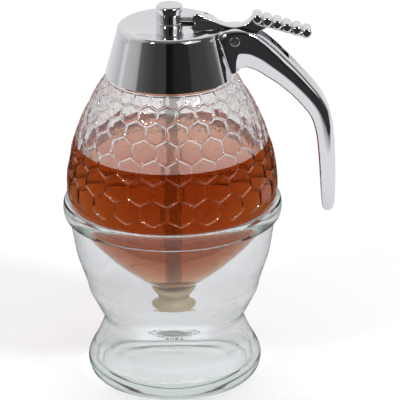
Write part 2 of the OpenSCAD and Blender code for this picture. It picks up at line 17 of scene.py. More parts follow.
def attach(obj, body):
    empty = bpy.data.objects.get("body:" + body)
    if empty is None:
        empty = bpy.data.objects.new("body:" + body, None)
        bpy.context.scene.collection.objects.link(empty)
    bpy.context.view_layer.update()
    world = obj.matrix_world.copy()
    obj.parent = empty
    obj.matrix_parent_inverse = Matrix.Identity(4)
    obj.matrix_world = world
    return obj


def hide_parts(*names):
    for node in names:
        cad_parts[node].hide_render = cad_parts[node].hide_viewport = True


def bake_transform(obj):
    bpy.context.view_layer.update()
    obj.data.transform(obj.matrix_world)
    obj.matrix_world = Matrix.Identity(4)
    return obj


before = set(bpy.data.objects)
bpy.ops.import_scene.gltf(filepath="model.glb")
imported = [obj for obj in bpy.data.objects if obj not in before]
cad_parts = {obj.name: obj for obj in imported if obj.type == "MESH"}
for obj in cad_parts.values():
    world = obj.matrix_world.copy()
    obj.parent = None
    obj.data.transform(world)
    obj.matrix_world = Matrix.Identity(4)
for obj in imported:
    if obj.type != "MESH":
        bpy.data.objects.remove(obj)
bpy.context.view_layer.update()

MM = 0.001
LOG = logging.getLogger("honey_dispenser")
Point = tuple[float, float]
Point3 = tuple[float, float, float]
Colour = tuple[float, float, float]
Piece = bpy.types.Object
Node = bpy.types.Node
Socket = bpy.types.NodeSocket


# ---------- Curves ----------


def curve_at(points: list[tuple[float, ...]], place: float) -> tuple[float, ...]:
    """A point of the smooth curve through points.

    Args:
        points: The points that the curve goes through, of any number of coordinates.
        place: 0 at the first point, 1 at the second and so on.

    Returns:
        The coordinates there.
    """
    last = len(points) - 1
    i = min(int(math.floor(place)), last - 1)
    f = place - i
    a, b, c, d = points[max(i - 1, 0)], points[i], points[i + 1], points[min(i + 2, last)]
    return tuple(
        0.5 * (2 * q + (r - p) * f + (2 * p - 5 * q + 4 * r - s) * f * f + (3 * q - p - 3 * r + s) * f**3)
        for p, q, r, s in zip(a, b, c, d)
    )


def smooth(points: list[Point], steps: int) -> list[Point]:
    """The smooth curve through points as a list, with steps places from each point to the next."""
    return [curve_at(points, k / steps) for k in range((len(points) - 1) * steps + 1)]


def arc(centre: Point, radius: float, start: float, end: float, steps: int = 8) -> list[Point]:
    """Points of an arc about centre, from angle start to angle end in degrees."""
    angles = [math.radians(start + (end - start) * k / steps) for k in range(steps + 1)]
    return [(centre[0] + radius * math.cos(a), centre[1] + radius * math.sin(a)) for a in angles]


def bend(a: Vector, corner: Vector, b: Vector, steps: int) -> list[Point]:
    """The curve from a to b that a corner between them pulls outwards."""
    shares = [k / steps for k in range(steps + 1)]
    return [tuple(a * (1 - f) ** 2 + corner * 2 * f * (1 - f) + b * f**2) for f in shares]


def rounded(points: list[Point], radius: float, steps: int = 3) -> list[Point]:
    """Rounds the inner corners of an open outline.

    Args:
        points: The outline's corners.
        radius: How far from each corner the rounding starts, at most.
        steps: Faces in each rounding.

    Returns:
        The outline with its corners rounded.
    """
    out = [points[0]]
    for before, corner, after in zip(points, points[1:], points[2:]):
        c = Vector(corner)
        to_a, to_b = Vector(before) - c, Vector(after) - c
        if min(to_a.length, to_b.length) < 1e-6:
            continue
        cut = min(radius, to_a.length * 0.45, to_b.length * 0.45)
        out += bend(c + to_a.normalized() * cut, c, c + to_b.normalized() * cut, steps)
    return out + [points[-1]]


# ---------- The bench: shaping by hand ----------


class Bench:
    """Modelling steps as a maker takes them, one piece at a time."""

    @staticmethod
    def clear() -> None:
        """Deselects everything."""
        bpy.ops.object.select_all(action="DESELECT")

    @staticmethod
    def take(piece: Piece) -> None:
        """Makes piece the only one selected, and the active one."""
        Bench.clear()
        piece.select_set(True)
        bpy.context.view_layer.objects.active = piece

    @staticmethod
    def open_mesh() -> None:
        """Goes into edit mode with the whole mesh selected."""
        bpy.ops.object.mode_set(mode="EDIT")
        bpy.ops.mesh.select_all(action="SELECT")

    @staticmethod
    def close_mesh() -> None:
        """Goes back to object mode."""
        bpy.ops.object.mode_set(mode="OBJECT")

    @staticmethod
    def select_by(kind: int) -> None:
        """Has corners (0), edges (1) or faces (2) selected from now on."""
        bpy.context.tool_settings.mesh_select_mode = tuple(k == kind for k in range(3))

    @staticmethod
    def drawn(name: str, line: list[Point3]) -> Piece:
        """Draws a line in edit mode, point after point, and stays in edit mode with all of it selected.

        Args:
            name: The piece's name.
            line: The points in millimetres.

        Returns:
            The new object.
        """
        Bench.clear()
        bpy.ops.mesh.primitive_plane_add(size=0.01, location=(0, 0, 0))
        piece = bpy.context.object
        piece.name = piece.data.name = name
        Bench.open_mesh()
        bpy.ops.mesh.merge(type="CENTER")
        bpy.ops.transform.translate(value=Vector(line[0]) * MM)
        for a, b in zip(line, line[1:]):
            bpy.ops.mesh.extrude_region_move(TRANSFORM_OT_translate={"value": (Vector(b) - Vector(a)) * MM})
        bpy.ops.mesh.select_all(action="SELECT")
        return piece

    @staticmethod
    def face_out(piece: Piece) -> Piece:
        """Turns the faces of a closed solid outwards.

        Args:
            piece: The solid.

        Returns:
            The same piece.
        """
        Bench.take(piece)
        Bench.open_mesh()
        bpy.ops.mesh.normals_make_consistent(inside=False)
        Bench.close_mesh()
        body = bmesh.new()
        body.from_mesh(piece.data)
        inside_out = body.calc_volume(signed=True) < 0
        body.free()
        if inside_out:
            Bench.open_mesh()
            bpy.ops.mesh.flip_normals()
            Bench.close_mesh()
        return piece

    @staticmethod
    def turned(name: str, outline: list[Point], steps: int = 96, closed: bool = False) -> Piece:
        """Turns an outline about the Z axis, as on a lathe.

        Args:
            name: The piece's name.
            outline: Radius and height of each point in millimetres.
            steps: Faces round the axis.
            closed: Whether the outline's end joins its start, as in a ring.

        Returns:
            The turned solid.
        """
        piece = Bench.drawn(name, [(r, 0.0, z) for r, z in outline + outline[:closed]])
        bpy.ops.mesh.spin(steps=steps, angle=2 * math.pi, center=(0, 0, 0), axis=(0, 0, 1))
        bpy.ops.mesh.select_all(action="SELECT")
        bpy.ops.mesh.remove_doubles(threshold=2e-6)
        Bench.close_mesh()
        return Bench.face_out(piece)

    @staticmethod
    def drum(name: str, radius: float, low: float, high: float, steps: int) -> Piece:
        """A plain round solid about the Z axis from height low to height high."""
        return Bench.turned(name, [(0.0, low), (radius, low), (radius, high), (0.0, high)], steps)

    @staticmethod
    def cut_out(name: str, outline: list[Point], half: float, bevel: float = 0.0) -> Piece:
        """Cuts a flat shape out in the XZ plane and gives it thickness along Y.

        Args:
            name: The piece's name.
            outline: X and Z of each corner in millimetres.
            half: Half of the thickness.
            bevel: Size of the rounding along both rims.

        Returns:
            The solid, centred on y = 0.
        """
        piece = Bench.drawn(name, [(x, -half, z) for x, z in outline])
        bpy.ops.mesh.edge_face_add()
        bpy.ops.mesh.extrude_region_move(TRANSFORM_OT_translate={"value": (0, 2 * half * MM, 0)})
        bpy.ops.mesh.select_all(action="SELECT")
        bpy.ops.mesh.normals_make_consistent(inside=False)
        if bevel:
            bpy.ops.mesh.select_all(action="DESELECT")
            Bench.close_mesh()
            Bench.select_by(1)
            for edge in piece.data.edges:
                a, b = (piece.data.vertices[v].co.y for v in edge.vertices)
                edge.select = abs(a - b) < 1e-7
            bpy.ops.object.mode_set(mode="EDIT")
            bpy.ops.mesh.bevel(offset=bevel * MM, segments=3, clamp_overlap=True)
            Bench.select_by(0)
        Bench.close_mesh()
        return piece

    @staticmethod
    def block(name: str, low: Point3, high: Point3, bevel: float = 0.0) -> Piece:
        """A block with its edges rounded.

        Args:
            name: The piece's name.
            low: Its lowest corner in millimetres.
            high: Its highest corner.
            bevel: Size of the rounding.

        Returns:
            The block.
        """
        Bench.clear()
        size, middle = (Vector(high) - Vector(low)) * MM, (Vector(high) + Vector(low)) * MM / 2
        bpy.ops.mesh.primitive_cube_add(size=1, location=middle, scale=size)
        piece = bpy.context.object
        piece.name = piece.data.name = name
        bpy.ops.object.transform_apply(location=True, rotation=True, scale=True)
        if bevel:
            Bench.open_mesh()
            bpy.ops.mesh.bevel(offset=bevel * MM, segments=3)
            Bench.close_mesh()
        return piece

    @staticmethod
    def meshed(name: str, points: list[Point3], faces: list[tuple[int, ...]]) -> Piece:
        """A piece made point by point.

        Args:
            name: Its name.
            points: Its points in millimetres.
            faces: The numbers of each face's points.

        Returns:
            The new piece.
        """
        mesh = bpy.data.meshes.new(name)
        mesh.from_pydata([Vector(p) * MM for p in points], [], faces)
        piece = bpy.data.objects.new(name, mesh)
        bpy.context.collection.objects.link(piece)
        return piece

    @staticmethod
    def lofted(name: str, rings: list[list[Point3]]) -> Piece:
        """Joins rings of equally many points into one skin and fills the first and the last.

        Args:
            name: The piece's name.
            rings: The rings in millimetres, each in the same order round.

        Returns:
            The solid, with its faces pointing outwards.
        """
        count = len(rings[0])
        faces = [
            (k * count + j, k * count + (j + 1) % count, (k + 1) * count + (j + 1) % count, (k + 1) * count + j)
            for k in range(len(rings) - 1)
            for j in range(count)
        ]
        faces += [tuple(range(count))[::-1], tuple((len(rings) - 1) * count + j for j in range(count))]
        return Bench.face_out(Bench.meshed(name, [p for ring in rings for p in ring], faces))

    @staticmethod
    def place(piece: Piece, move: Point3, turn: Point3 = (0, 0, 0)) -> Piece:
        """Turns a piece about the origin, then moves it, and applies both to its mesh.

        Args:
            piece: The piece.
            move: How far it moves in millimetres.
            turn: How far it turns about each axis in degrees.

        Returns:
            The same piece.
        """
        Bench.take(piece)
        piece.rotation_euler = [math.radians(a) for a in turn]
        piece.location = Vector(move) * MM
        bpy.ops.object.transform_apply(location=True, rotation=True, scale=True)
        return piece

    @staticmethod
    def copy(piece: Piece, move: Point3) -> Piece:
        """Makes another piece of the same shape.

        Args:
            piece: The piece.
            move: How far from it the other one is, in millimetres.

        Returns:
            The other one, with its own mesh.
        """
        other = piece.copy()
        other.data = piece.data.copy()
        bpy.context.collection.objects.link(other)
        return Bench.place(other, move)

    @staticmethod
    def combine(piece: Piece, tool: Piece, how: str = "DIFFERENCE") -> None:
        """Cuts tool out of piece, or joins it to piece, and takes tool away.

        Args:
            piece: The solid that stays.
            tool: The other solid.
            how: UNION or DIFFERENCE.
        """
        Bench.take(piece)
        modifier = piece.modifiers.new(how.lower(), "BOOLEAN")
        modifier.operation, modifier.object, modifier.solver = how, tool, "EXACT"
        bpy.ops.object.modifier_apply(modifier=modifier.name)
        bpy.data.objects.remove(tool)

    @staticmethod
    def join(pieces: list[Piece]) -> Piece:
        """Puts several pieces in one mesh.

        Args:
            pieces: The pieces, the first being the one that stays.

        Returns:
            The first piece.
        """
        Bench.take(pieces[0])
        for other in pieces[1:]:
            other.select_set(True)
        bpy.ops.object.join()
        return pieces[0]

    @staticmethod
    def shade(piece: Piece, angle: float) -> Piece:
        """Shades a piece smooth.

        Args:
            piece: The piece.
            angle: Edges sharper than this, in degrees, stay sharp.

        Returns:
            The same piece.
        """
        Bench.take(piece)
        bpy.ops.object.shade_smooth_by_angle(angle=math.radians(angle))
        return piece


# ---------- Finishes ----------


class Nodes:
    """A material's or a group's nodes, with short calls to add and link them."""

    def __init__(self, tree: bpy.types.NodeTree) -> None:
        """Empties the tree and keeps it."""
        self.tree = tree
        tree.nodes.clear()

    def add(self, kind: str, inputs: dict[str | int, object] | None = None, **values: object) -> Node:
        """Adds a node.

        Args:
            kind: Its type.
            inputs: What its inputs get, as in fill.
            values: Its properties.

        Returns:
            The node.
        """
        node = self.tree.nodes.new(kind)
        for name, value in values.items():
            setattr(node, name, value)
        self.fill(node, inputs or {})
        return node

    def fill(self, node: Node, inputs: dict[str | int, object]) -> None:
        """Gives inputs of a node their values or links them.

        Args:
            node: The node.
            inputs: A number, a colour without its alpha, a socket or None for each input, by name or place.
        """
        for name, value in inputs.items():
            socket = node.inputs[name]
            if isinstance(value, Socket):
                self.tree.links.new(value, socket)
            elif value is not None:
                socket.default_value = (*value, 1) if socket.type == "RGBA" else value

    def math(self, operation: str, a: object, b: object = None, clamp: bool = False) -> Socket:
        """A Math node's result, for one or two numbers or sockets, kept from 0 to 1 by clamp."""
        return self.add("ShaderNodeMath", {0: a, 1: b}, operation=operation, use_clamp=clamp).outputs[0]

    def mix(self, factor: Socket, a: object, b: object) -> Socket:
        """The colour between a and b, each a colour or a socket, by factor."""
        return self.add("ShaderNodeMix", {0: factor, 6: a, 7: b}, data_type="RGBA").outputs[2]

    def span(self, value: Socket, start: Point, end: Point = (0.0, 1.0), kind: str = "LINEAR") -> Socket:
        """Carries a value from one range to another.

        Args:
            value: The value.
            start: The range that it has.
            end: The range that it gets, and is kept in.
            kind: The interpolation.

        Returns:
            The result.
        """
        names = ("From Min", "From Max", "To Min", "To Max")
        inputs = {"Value": value, **dict(zip(names, (*start, *end)))}
        return self.add("ShaderNodeMapRange", inputs, interpolation_type=kind).outputs[0]

    def place(self, kind: str = "Object") -> Socket:
        """The texture coordinates of a kind."""
        return self.add("ShaderNodeTexCoord").outputs[kind]

    def split(self, vector: Socket) -> bpy.types.NodeOutputs:
        """X, Y and Z of a vector."""
        return self.add("ShaderNodeSeparateXYZ", {0: vector}).outputs


def new_group(name: str, inputs: dict[str, float], outputs: tuple[str, ...]) -> tuple[Nodes, Node, Node]:
    """A shader group with a Vector input besides its own.

    Args:
        name: The group's name.
        inputs: Its inputs with their usual values.
        outputs: Its outputs.

    Returns:
        The group's nodes, its input node and its output node.
    """
    tree = bpy.data.node_groups.new(name, "ShaderNodeTree")
    face = tree.interface
    face.new_socket("Vector", in_out="INPUT", socket_type="NodeSocketVector")
    for title, value in inputs.items():
        face.new_socket(title, in_out="INPUT", socket_type="NodeSocketFloat").default_value = value
    for title in outputs:
        face.new_socket(title, in_out="OUTPUT", socket_type="NodeSocketFloat")
    n = Nodes(tree)
    return n, n.add("NodeGroupInput"), n.add("NodeGroupOutput")


def wear_group() -> bpy.types.NodeTree:
    """The shared group that varies a finish over its surface, built once.

    Returns:
        A group with Vector, Scale, Low, High and Spots inputs, which puts out a value from Low to High that clouds
        and fine marks vary, and a height.
    """
    found = bpy.data.node_groups.get("surface_wear")
    if found:
        return found
    usual = {"Scale": 40.0, "Low": 0.05, "High": 0.15, "Spots": 0.2}
    n, entry, leave = new_group("surface_wear", usual, ("Value", "Height"))
    vector, scale, low, high, spots = (entry.outputs[name] for name in ("Vector", *usual))
    clouds = n.add("ShaderNodeTexNoise", {"Vector": vector, "Scale": scale, "Detail": 3}).outputs[0]
    finer = n.math("MULTIPLY", scale, 14.0)
    marks = n.add("ShaderNodeTexNoise", {"Vector": vector, "Scale": finer, "Detail": 2}).outputs[0]
    fine = n.math("MULTIPLY", n.math("SUBTRACT", marks, 0.5), spots)
    spread = n.math("MULTIPLY", n.math("SUBTRACT", clouds, 0.5), 2.2)
    mask = n.math("ADD", n.math("ADD", spread, fine), 0.5, clamp=True)
    value = n.math("ADD", n.math("MULTIPLY", mask, n.math("SUBTRACT", high, low)), low)
    n.fill(leave, {"Value": value, "Height": n.math("ADD", n.math("MULTIPLY", clouds, 0.8), fine)})
    return n.tree


def stipple_group() -> bpy.types.NodeTree:
    """The ring of moulded dots under the holder's foot.

    Returns:
        A group with Vector, Count and Radius inputs, which puts out a height.
    """
    pitch, dot, height, top = 0.0019, (0.0002, 0.0007), 4.0, 0.0008
    n, entry, leave = new_group("foot_stipple", {"Count": 96.0, "Radius": 0.0297}, ("Height",))
    x, y, z = n.split(entry.outputs["Vector"])

    def length(a: Socket, b: Socket) -> Socket:
        """How long the vector (a, b) is."""
        return n.math("SQRT", n.math("ADD", n.math("MULTIPLY", a, a), n.math("MULTIPLY", b, b)))

    turn = n.math("MULTIPLY", n.math("DIVIDE", n.math("ARCTAN2", y, x), 2 * math.pi), entry.outputs["Count"])
    along = n.math("MULTIPLY", n.math("SUBTRACT", n.math("FRACT", turn), 0.5), pitch)
    away = length(along, n.math("SUBTRACT", length(x, y), entry.outputs["Radius"]))
    dots = n.span(away, dot, (height, 0.0), "SMOOTHSTEP")
    n.fill(leave, {"Height": n.math("MULTIPLY", dots, n.math("LESS_THAN", z, top))})
    return n.tree


def new_material(name: str) -> tuple[bpy.types.Material, Nodes, Node, Node]:
    """A material with a Principled shader and an output.

    Args:
        name: The material's name.

    Returns:
        The material, its nodes, the Principled node and the output node.
    """
    material = bpy.data.materials.new(name)
    material.use_nodes = True
    n = Nodes(material.node_tree)
    shader = n.add("ShaderNodeBsdfPrincipled")
    return material, n, shader, n.add("ShaderNodeOutputMaterial", {"Surface": shader.outputs[0]})


def add_wear(n: Nodes, scale: float, low: float, high: float, spots: float) -> bpy.types.NodeOutputs:
    """Places the wear group on Object coordinates in a material with its own values."""
    group = n.add("ShaderNodeGroup", node_tree=wear_group())
    n.fill(group, {"Vector": n.place(), "Scale": scale, "Low": low, "High": high, "Spots": spots})
    return group.outputs


def add_bump(n: Nodes, shader: Node, height: Socket, depth: float) -> None:
    """Feeds a height, depth metres high, to the shader's normal."""
    bump = n.add("ShaderNodeBump", {"Strength": 1.0, "Distance": depth, "Height": height})
    n.fill(shader, {"Normal": bump.outputs[0]})


@dataclass(frozen=True)
class Coat:
    """A finish whose colour and roughness vary over the surface."""

    name: str
    dark: Colour
    light: Colour
    low: float
    high: float

    def own(self) -> tuple[float, float, float, dict[str, object]]:
        """Scale, spots and depth in metres of the wear, and the shader's inputs that tell the kind."""
        raise NotImplementedError

    def make(self) -> bpy.types.Material:
        """Builds the material.

        Returns:
            The material.
        """
        material, n, shader, _ = new_material(self.name)
        scale, spots, depth, inputs = self.own()
        wear = add_wear(n, scale, self.low, self.high, spots)
        height = wear["Height"]
        n.fill(shader, {**inputs, "Roughness": wear["Value"], "Base Color": n.mix(height, self.dark, self.light)})
        add_bump(n, shader, height, depth)
        return material


@dataclass(frozen=True)
class Metal(Coat):
    """A plated or bare metal."""

    depth: float = 0.00001

    def own(self) -> tuple[float, float, float, dict[str, object]]:
        """Scale, spots and depth in metres of the wear, and the shader's inputs that tell the kind."""
        return 60.0, 0.3, self.depth, {"Metallic": 1.0}


@dataclass(frozen=True)
class Rubber(Coat):
    """Silicone, rubber or plastic."""

    soft: float = 0.0

    def own(self) -> tuple[float, float, float, dict[str, object]]:
        """Scale, spots and depth in metres of the wear, and the shader's inputs that tell the kind."""
        flesh = {"Subsurface Weight": self.soft, "Subsurface Radius": (0.004, 0.003, 0.0015), "Subsurface Scale": 0.5}
        return 120.0, 0.5, 0.00004, flesh


@dataclass(frozen=True)
class Glass:
    """Pressed glass, or the clear liquid in it, that lets the lamps through."""

    name: str
    colour: Colour
    shadow: Colour
    ior: float = 1.5
    ripple_scale: float = 35.0
    ripple: float = 0.00012
    dots: bool = False
    depth_tint: Colour = (1.0, 1.0, 1.0)
    density: float = 0.0
    # far and reach: a painted gradient of light along Y, colour at the front and far at the back, across reach in
    # metres
    far: Colour | None = None
    reach: Point = (-0.03, 0.03)

    def make(self) -> bpy.types.Material:
        """Builds the material, which goes from colour to far along Y if it has a far colour: painted light, from colour
        at the front to far at the back.

        Returns:
            The material.
        """
        material, n, shader, out = new_material(self.name)
        # Painted light: the colour shades towards far at the back
        colour = n.mix(n.span(n.split(n.place())["Y"], self.reach), self.colour, self.far) if self.far else self.colour
        n.fill(shader, {"Transmission Weight": 1.0, "IOR": self.ior, "Base Color": colour, "Roughness": 0.0})
        height = add_wear(n, self.ripple_scale, 0.0, 1.0, 0.0)["Height"]
        if self.dots:
            stipple = n.add("ShaderNodeGroup", node_tree=stipple_group())
            n.fill(stipple, {"Vector": n.place()})
            height = n.math("ADD", height, stipple.outputs["Height"])
        add_bump(n, shader, height, self.ripple)
        shaded = n.add("ShaderNodeLightPath").outputs["Is Shadow Ray"]
        clear = n.add("ShaderNodeBsdfTransparent", {"Color": self.shadow})
        both = n.add("ShaderNodeMixShader", {0: shaded, 1: shader.outputs[0], 2: clear.outputs[0]})
        n.fill(out, {"Surface": both.outputs[0]})
        if self.density:
            volume = n.add("ShaderNodeVolumeAbsorption", {"Color": self.depth_tint, "Density": self.density})
            n.fill(out, {"Volume": volume.outputs[0]})
        return material


class Finish(Enum):
    """The finishes of the dispenser's pieces."""

    STAND_GLASS = Glass(
        "stand_glass", (0.965, 0.965, 0.97), (0.95, 0.955, 0.955), ripple=0.00015, dots=True,
        depth_tint=(0.5, 0.8, 0.68), density=5.0,
    )
    JAR_GLASS = Glass(
        "jar_glass", (0.985, 0.985, 0.985), (0.95, 0.95, 0.94), ripple_scale=260.0, ripple=0.00025
    )
    WET_GLASS = Glass("wet_jar_glass", (1.0, 1.0, 1.0), (0.97, 0.97, 0.97), ior=1.007, ripple=0.0)
    BELLY_GLASS = Glass("belly_glass", (1.0, 1.0, 1.0), (0.95, 0.95, 0.94), ior=1.4, ripple=0.0001)
    RIDGE_GLASS = Glass("ridge_glass", (1.0, 1.0, 1.0), (0.95, 0.95, 0.94), ior=1.9, ripple=0.0)
    FUNNEL_GLASS = Glass(
        "funnel_glass", (1.0, 1.0, 1.0), (0.95, 0.95, 0.94), ior=1.2, ripple_scale=80.0, ripple=0.0001
    )
    # Painted light: the honey's top goes from the dark colour at the front to the lighter far colour at the back
    HONEY = Glass(
        "honey", (0.4, 0.05, 0.02), (0.62, 0.52, 0.45), ior=1.49, ripple_scale=25.0, ripple=0.00005,
        far=(0.65, 0.14, 0.05),
    )
    HONEY_SIDE = Glass(
        "honey_side", (1.0, 1.0, 1.0), (0.62, 0.52, 0.45), ior=1.001, ripple_scale=25.0, ripple=0.00005,
        depth_tint=(0.815, 0.49, 0.15), density=90.0,
    )
    CHROME = Metal("chrome", (0.74, 0.745, 0.76), (0.82, 0.82, 0.83), 0.02, 0.05, depth=0.000003)
    STEEL = Metal("steel", (0.55, 0.54, 0.52), (0.68, 0.67, 0.65), 0.15, 0.3)
    SPRING_STEEL = Metal("spring_steel", (0.5, 0.5, 0.5), (0.65, 0.65, 0.66), 0.2, 0.35)
    NOZZLE = Rubber("nozzle", (0.5, 0.42, 0.29), (0.62, 0.54, 0.39), 0.3, 0.5, soft=0.2)
    STOPPER = Rubber("stopper", (0.6, 0.5, 0.36), (0.7, 0.6, 0.44), 0.3, 0.45, soft=0.3)
    SEAL = Rubber("seal", (0.78, 0.77, 0.72), (0.86, 0.85, 0.8), 0.4, 0.6, soft=0.2)
    O_RING = Rubber("o_ring", (0.015, 0.015, 0.016), (0.03, 0.03, 0.032), 0.3, 0.5)
    LINER = Rubber("liner", (0.84, 0.84, 0.82), (0.9, 0.9, 0.88), 0.3, 0.45)

    def material(self) -> bpy.types.Material:
        """The finish's material, built on first use."""
        if self not in MADE:
            MADE[self] = self.value.make()
        return MADE[self]


MADE: dict[Finish, bpy.types.Material] = {}


def paint(piece: Piece, *finishes: Finish) -> None:
    """Gives a piece its finishes in place of those that it has."""
    piece.data.materials.clear()
    for finish in finishes:
        piece.data.materials.append(finish.material())


def fit(piece: Piece, finish: Finish, body: str, nodes: tuple[str, ...], slot: str, *more: Finish) -> None:
    """Gives a piece its finish and its place in the moving model.

    Args:
        piece: The piece.
        finish: Its finish.
        body: The body that it moves with.
        nodes: The solids that it stands for.
        slot: The material slot that it takes its finish from; not used.
        more: Finishes that some of its faces have instead.
    """
    paint(piece, finish, *more)
    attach(piece, body)
    if nodes:
        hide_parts(*nodes)
    LOG.info("%s: %d faces, on %s, %s", piece.name, len(piece.data.polygons), body, finish.name.lower())


def refinish(node: str, finish: Finish) -> None:
    """Gives a solid that stays as it is its finish."""
    paint(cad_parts[node], finish)
    LOG.info("%s keeps its shape, %s", node, finish.name.lower())


# ---------- Glassware ----------


@dataclass
class Egg:
    """The jar's outside between the end of its funnel and its shoulder."""

    belly_r: float = 41.0
    belly_z: float = 78.1
    upper_h: float = 45.3
    shoulder_r: float = 24.9
    lower_h: float = 42.0
    funnel_r: float = 8.0
    upper_power: float = 1.9
    lower_power: float = 1.75

    def radius(self, z: float) -> float:
        """Radius at a height.

        Args:
            z: The height.

        Returns:
            The radius.
        """
        if z >= self.belly_z:
            t = (z - self.belly_z) / self.upper_h
            return self.shoulder_r + (self.belly_r - self.shoulder_r) * (1 - t**self.upper_power)
        t = (self.belly_z - z) / self.lower_h
        return self.funnel_r + (self.belly_r - self.funnel_r) * (1 - t**self.lower_power)

    def point(self, z: float, depth: float = 0.0) -> Point:
        """A point of the outside.

        Args:
            z: Its height.
            depth: How far it is then moved inwards, square to the outside.

        Returns:
            Its radius and height after that.
        """
        slope = (self.radius(z + 0.05) - self.radius(z - 0.05)) / 0.1
        length = math.hypot(1, slope)
        return self.radius(z) - depth / length, z + depth * slope / length


@dataclass
class Stand:
    """The waisted glass holder."""

    egg: Egg
    height: float = 73.1
    lip_w: float = 2.1
    lip_h: float = 7.0
    step_r: float = 33.4
    step_z: float = 37.4
    waist_r: float = 27.3
    waist_z: float = 22.7
    foot_r: float = 33.9
    foot_z: float = 6.3
    base_r: float = 31.3
    wall: float = 2.6
    base_t: float = 5.0
    seat_gap: float = 0.15

    def outline(self) -> list[Point]:
        """The holder's half section from the middle of its underside round to the middle of its floor.

        Returns:
            Radius and height of each point.
        """
        mouth = self.egg.radius(self.height) + self.seat_gap
        lip_r, low = mouth + self.lip_w, self.height - self.lip_h
        foot = [
            (self.base_r, 0.0), (self.foot_r - 0.9, self.foot_z * 0.35), (self.foot_r, self.foot_z),
            (self.foot_r - 1.3, self.foot_z + 4), (self.waist_r + 2.6, self.waist_z - 7.4),
            (self.waist_r, self.waist_z), (self.waist_r + 2.2, self.waist_z + 5.6),
            (self.step_r - 0.8, self.step_z - 3), (self.step_r, self.step_z - 0.4),
        ]
        bowl = [
            (self.step_r + 0.1, self.step_z + 0.6), (self.step_r + 2, self.step_z + 6.6),
            (self.step_r + 4.1, self.step_z + 12.8), (lip_r - 3.4, low - 7), (lip_r - 2.4, low),
        ]
        outer = smooth(foot, 7) + smooth(bowl, 7)
        inner = [(r - self.wall, z) for r, z in reversed(outer) if z > self.base_t + 2.4]
        lip = smooth([
            (lip_r - 1.1, low), (lip_r - 0.5, low + 0.5), (lip_r - 0.12, low + 2), (lip_r, low + 3.8),
            (lip_r - 0.2, low + 5.4), (lip_r - 0.8, self.height - 0.4),
        ], 5)
        mouth_line = rounded([lip[-1], (mouth + 0.4, self.height), (mouth, self.height - 0.7), (mouth - 0.6, low)], 0.5)
        end = inner[-1][0]
        floor = smooth([
            (end - 0.9, self.base_t + 1.6), (end - 3, self.base_t + 0.4), (end - 8, self.base_t - 0.3),
            (0.0, self.base_t - 0.8),
        ], 4)
        under = [(0.0, 0.35), (self.base_r - 5, 0.3), (self.base_r - 3.6, 0.0)]
        return under + outer + lip + mouth_line[1:] + inner + floor

    def build(self) -> None:
        """Turns the holder and fits it."""
        piece = Bench.shade(Bench.turned("holder", self.outline(), 144), 50)
        fit(piece, Finish.STAND_GLASS, "stand", ("glass_stand",), "stand_glass")


# Each step from a cell's rim to its floor: how far in and how far out, in millimetres
CELL_STEPS = ((0.16, 0.0), (0.12, -0.08), (0.16, -0.24), (0.14, -0.18), (0.12, -0.04), (0.12, -0.005), (0.8, 0.0))


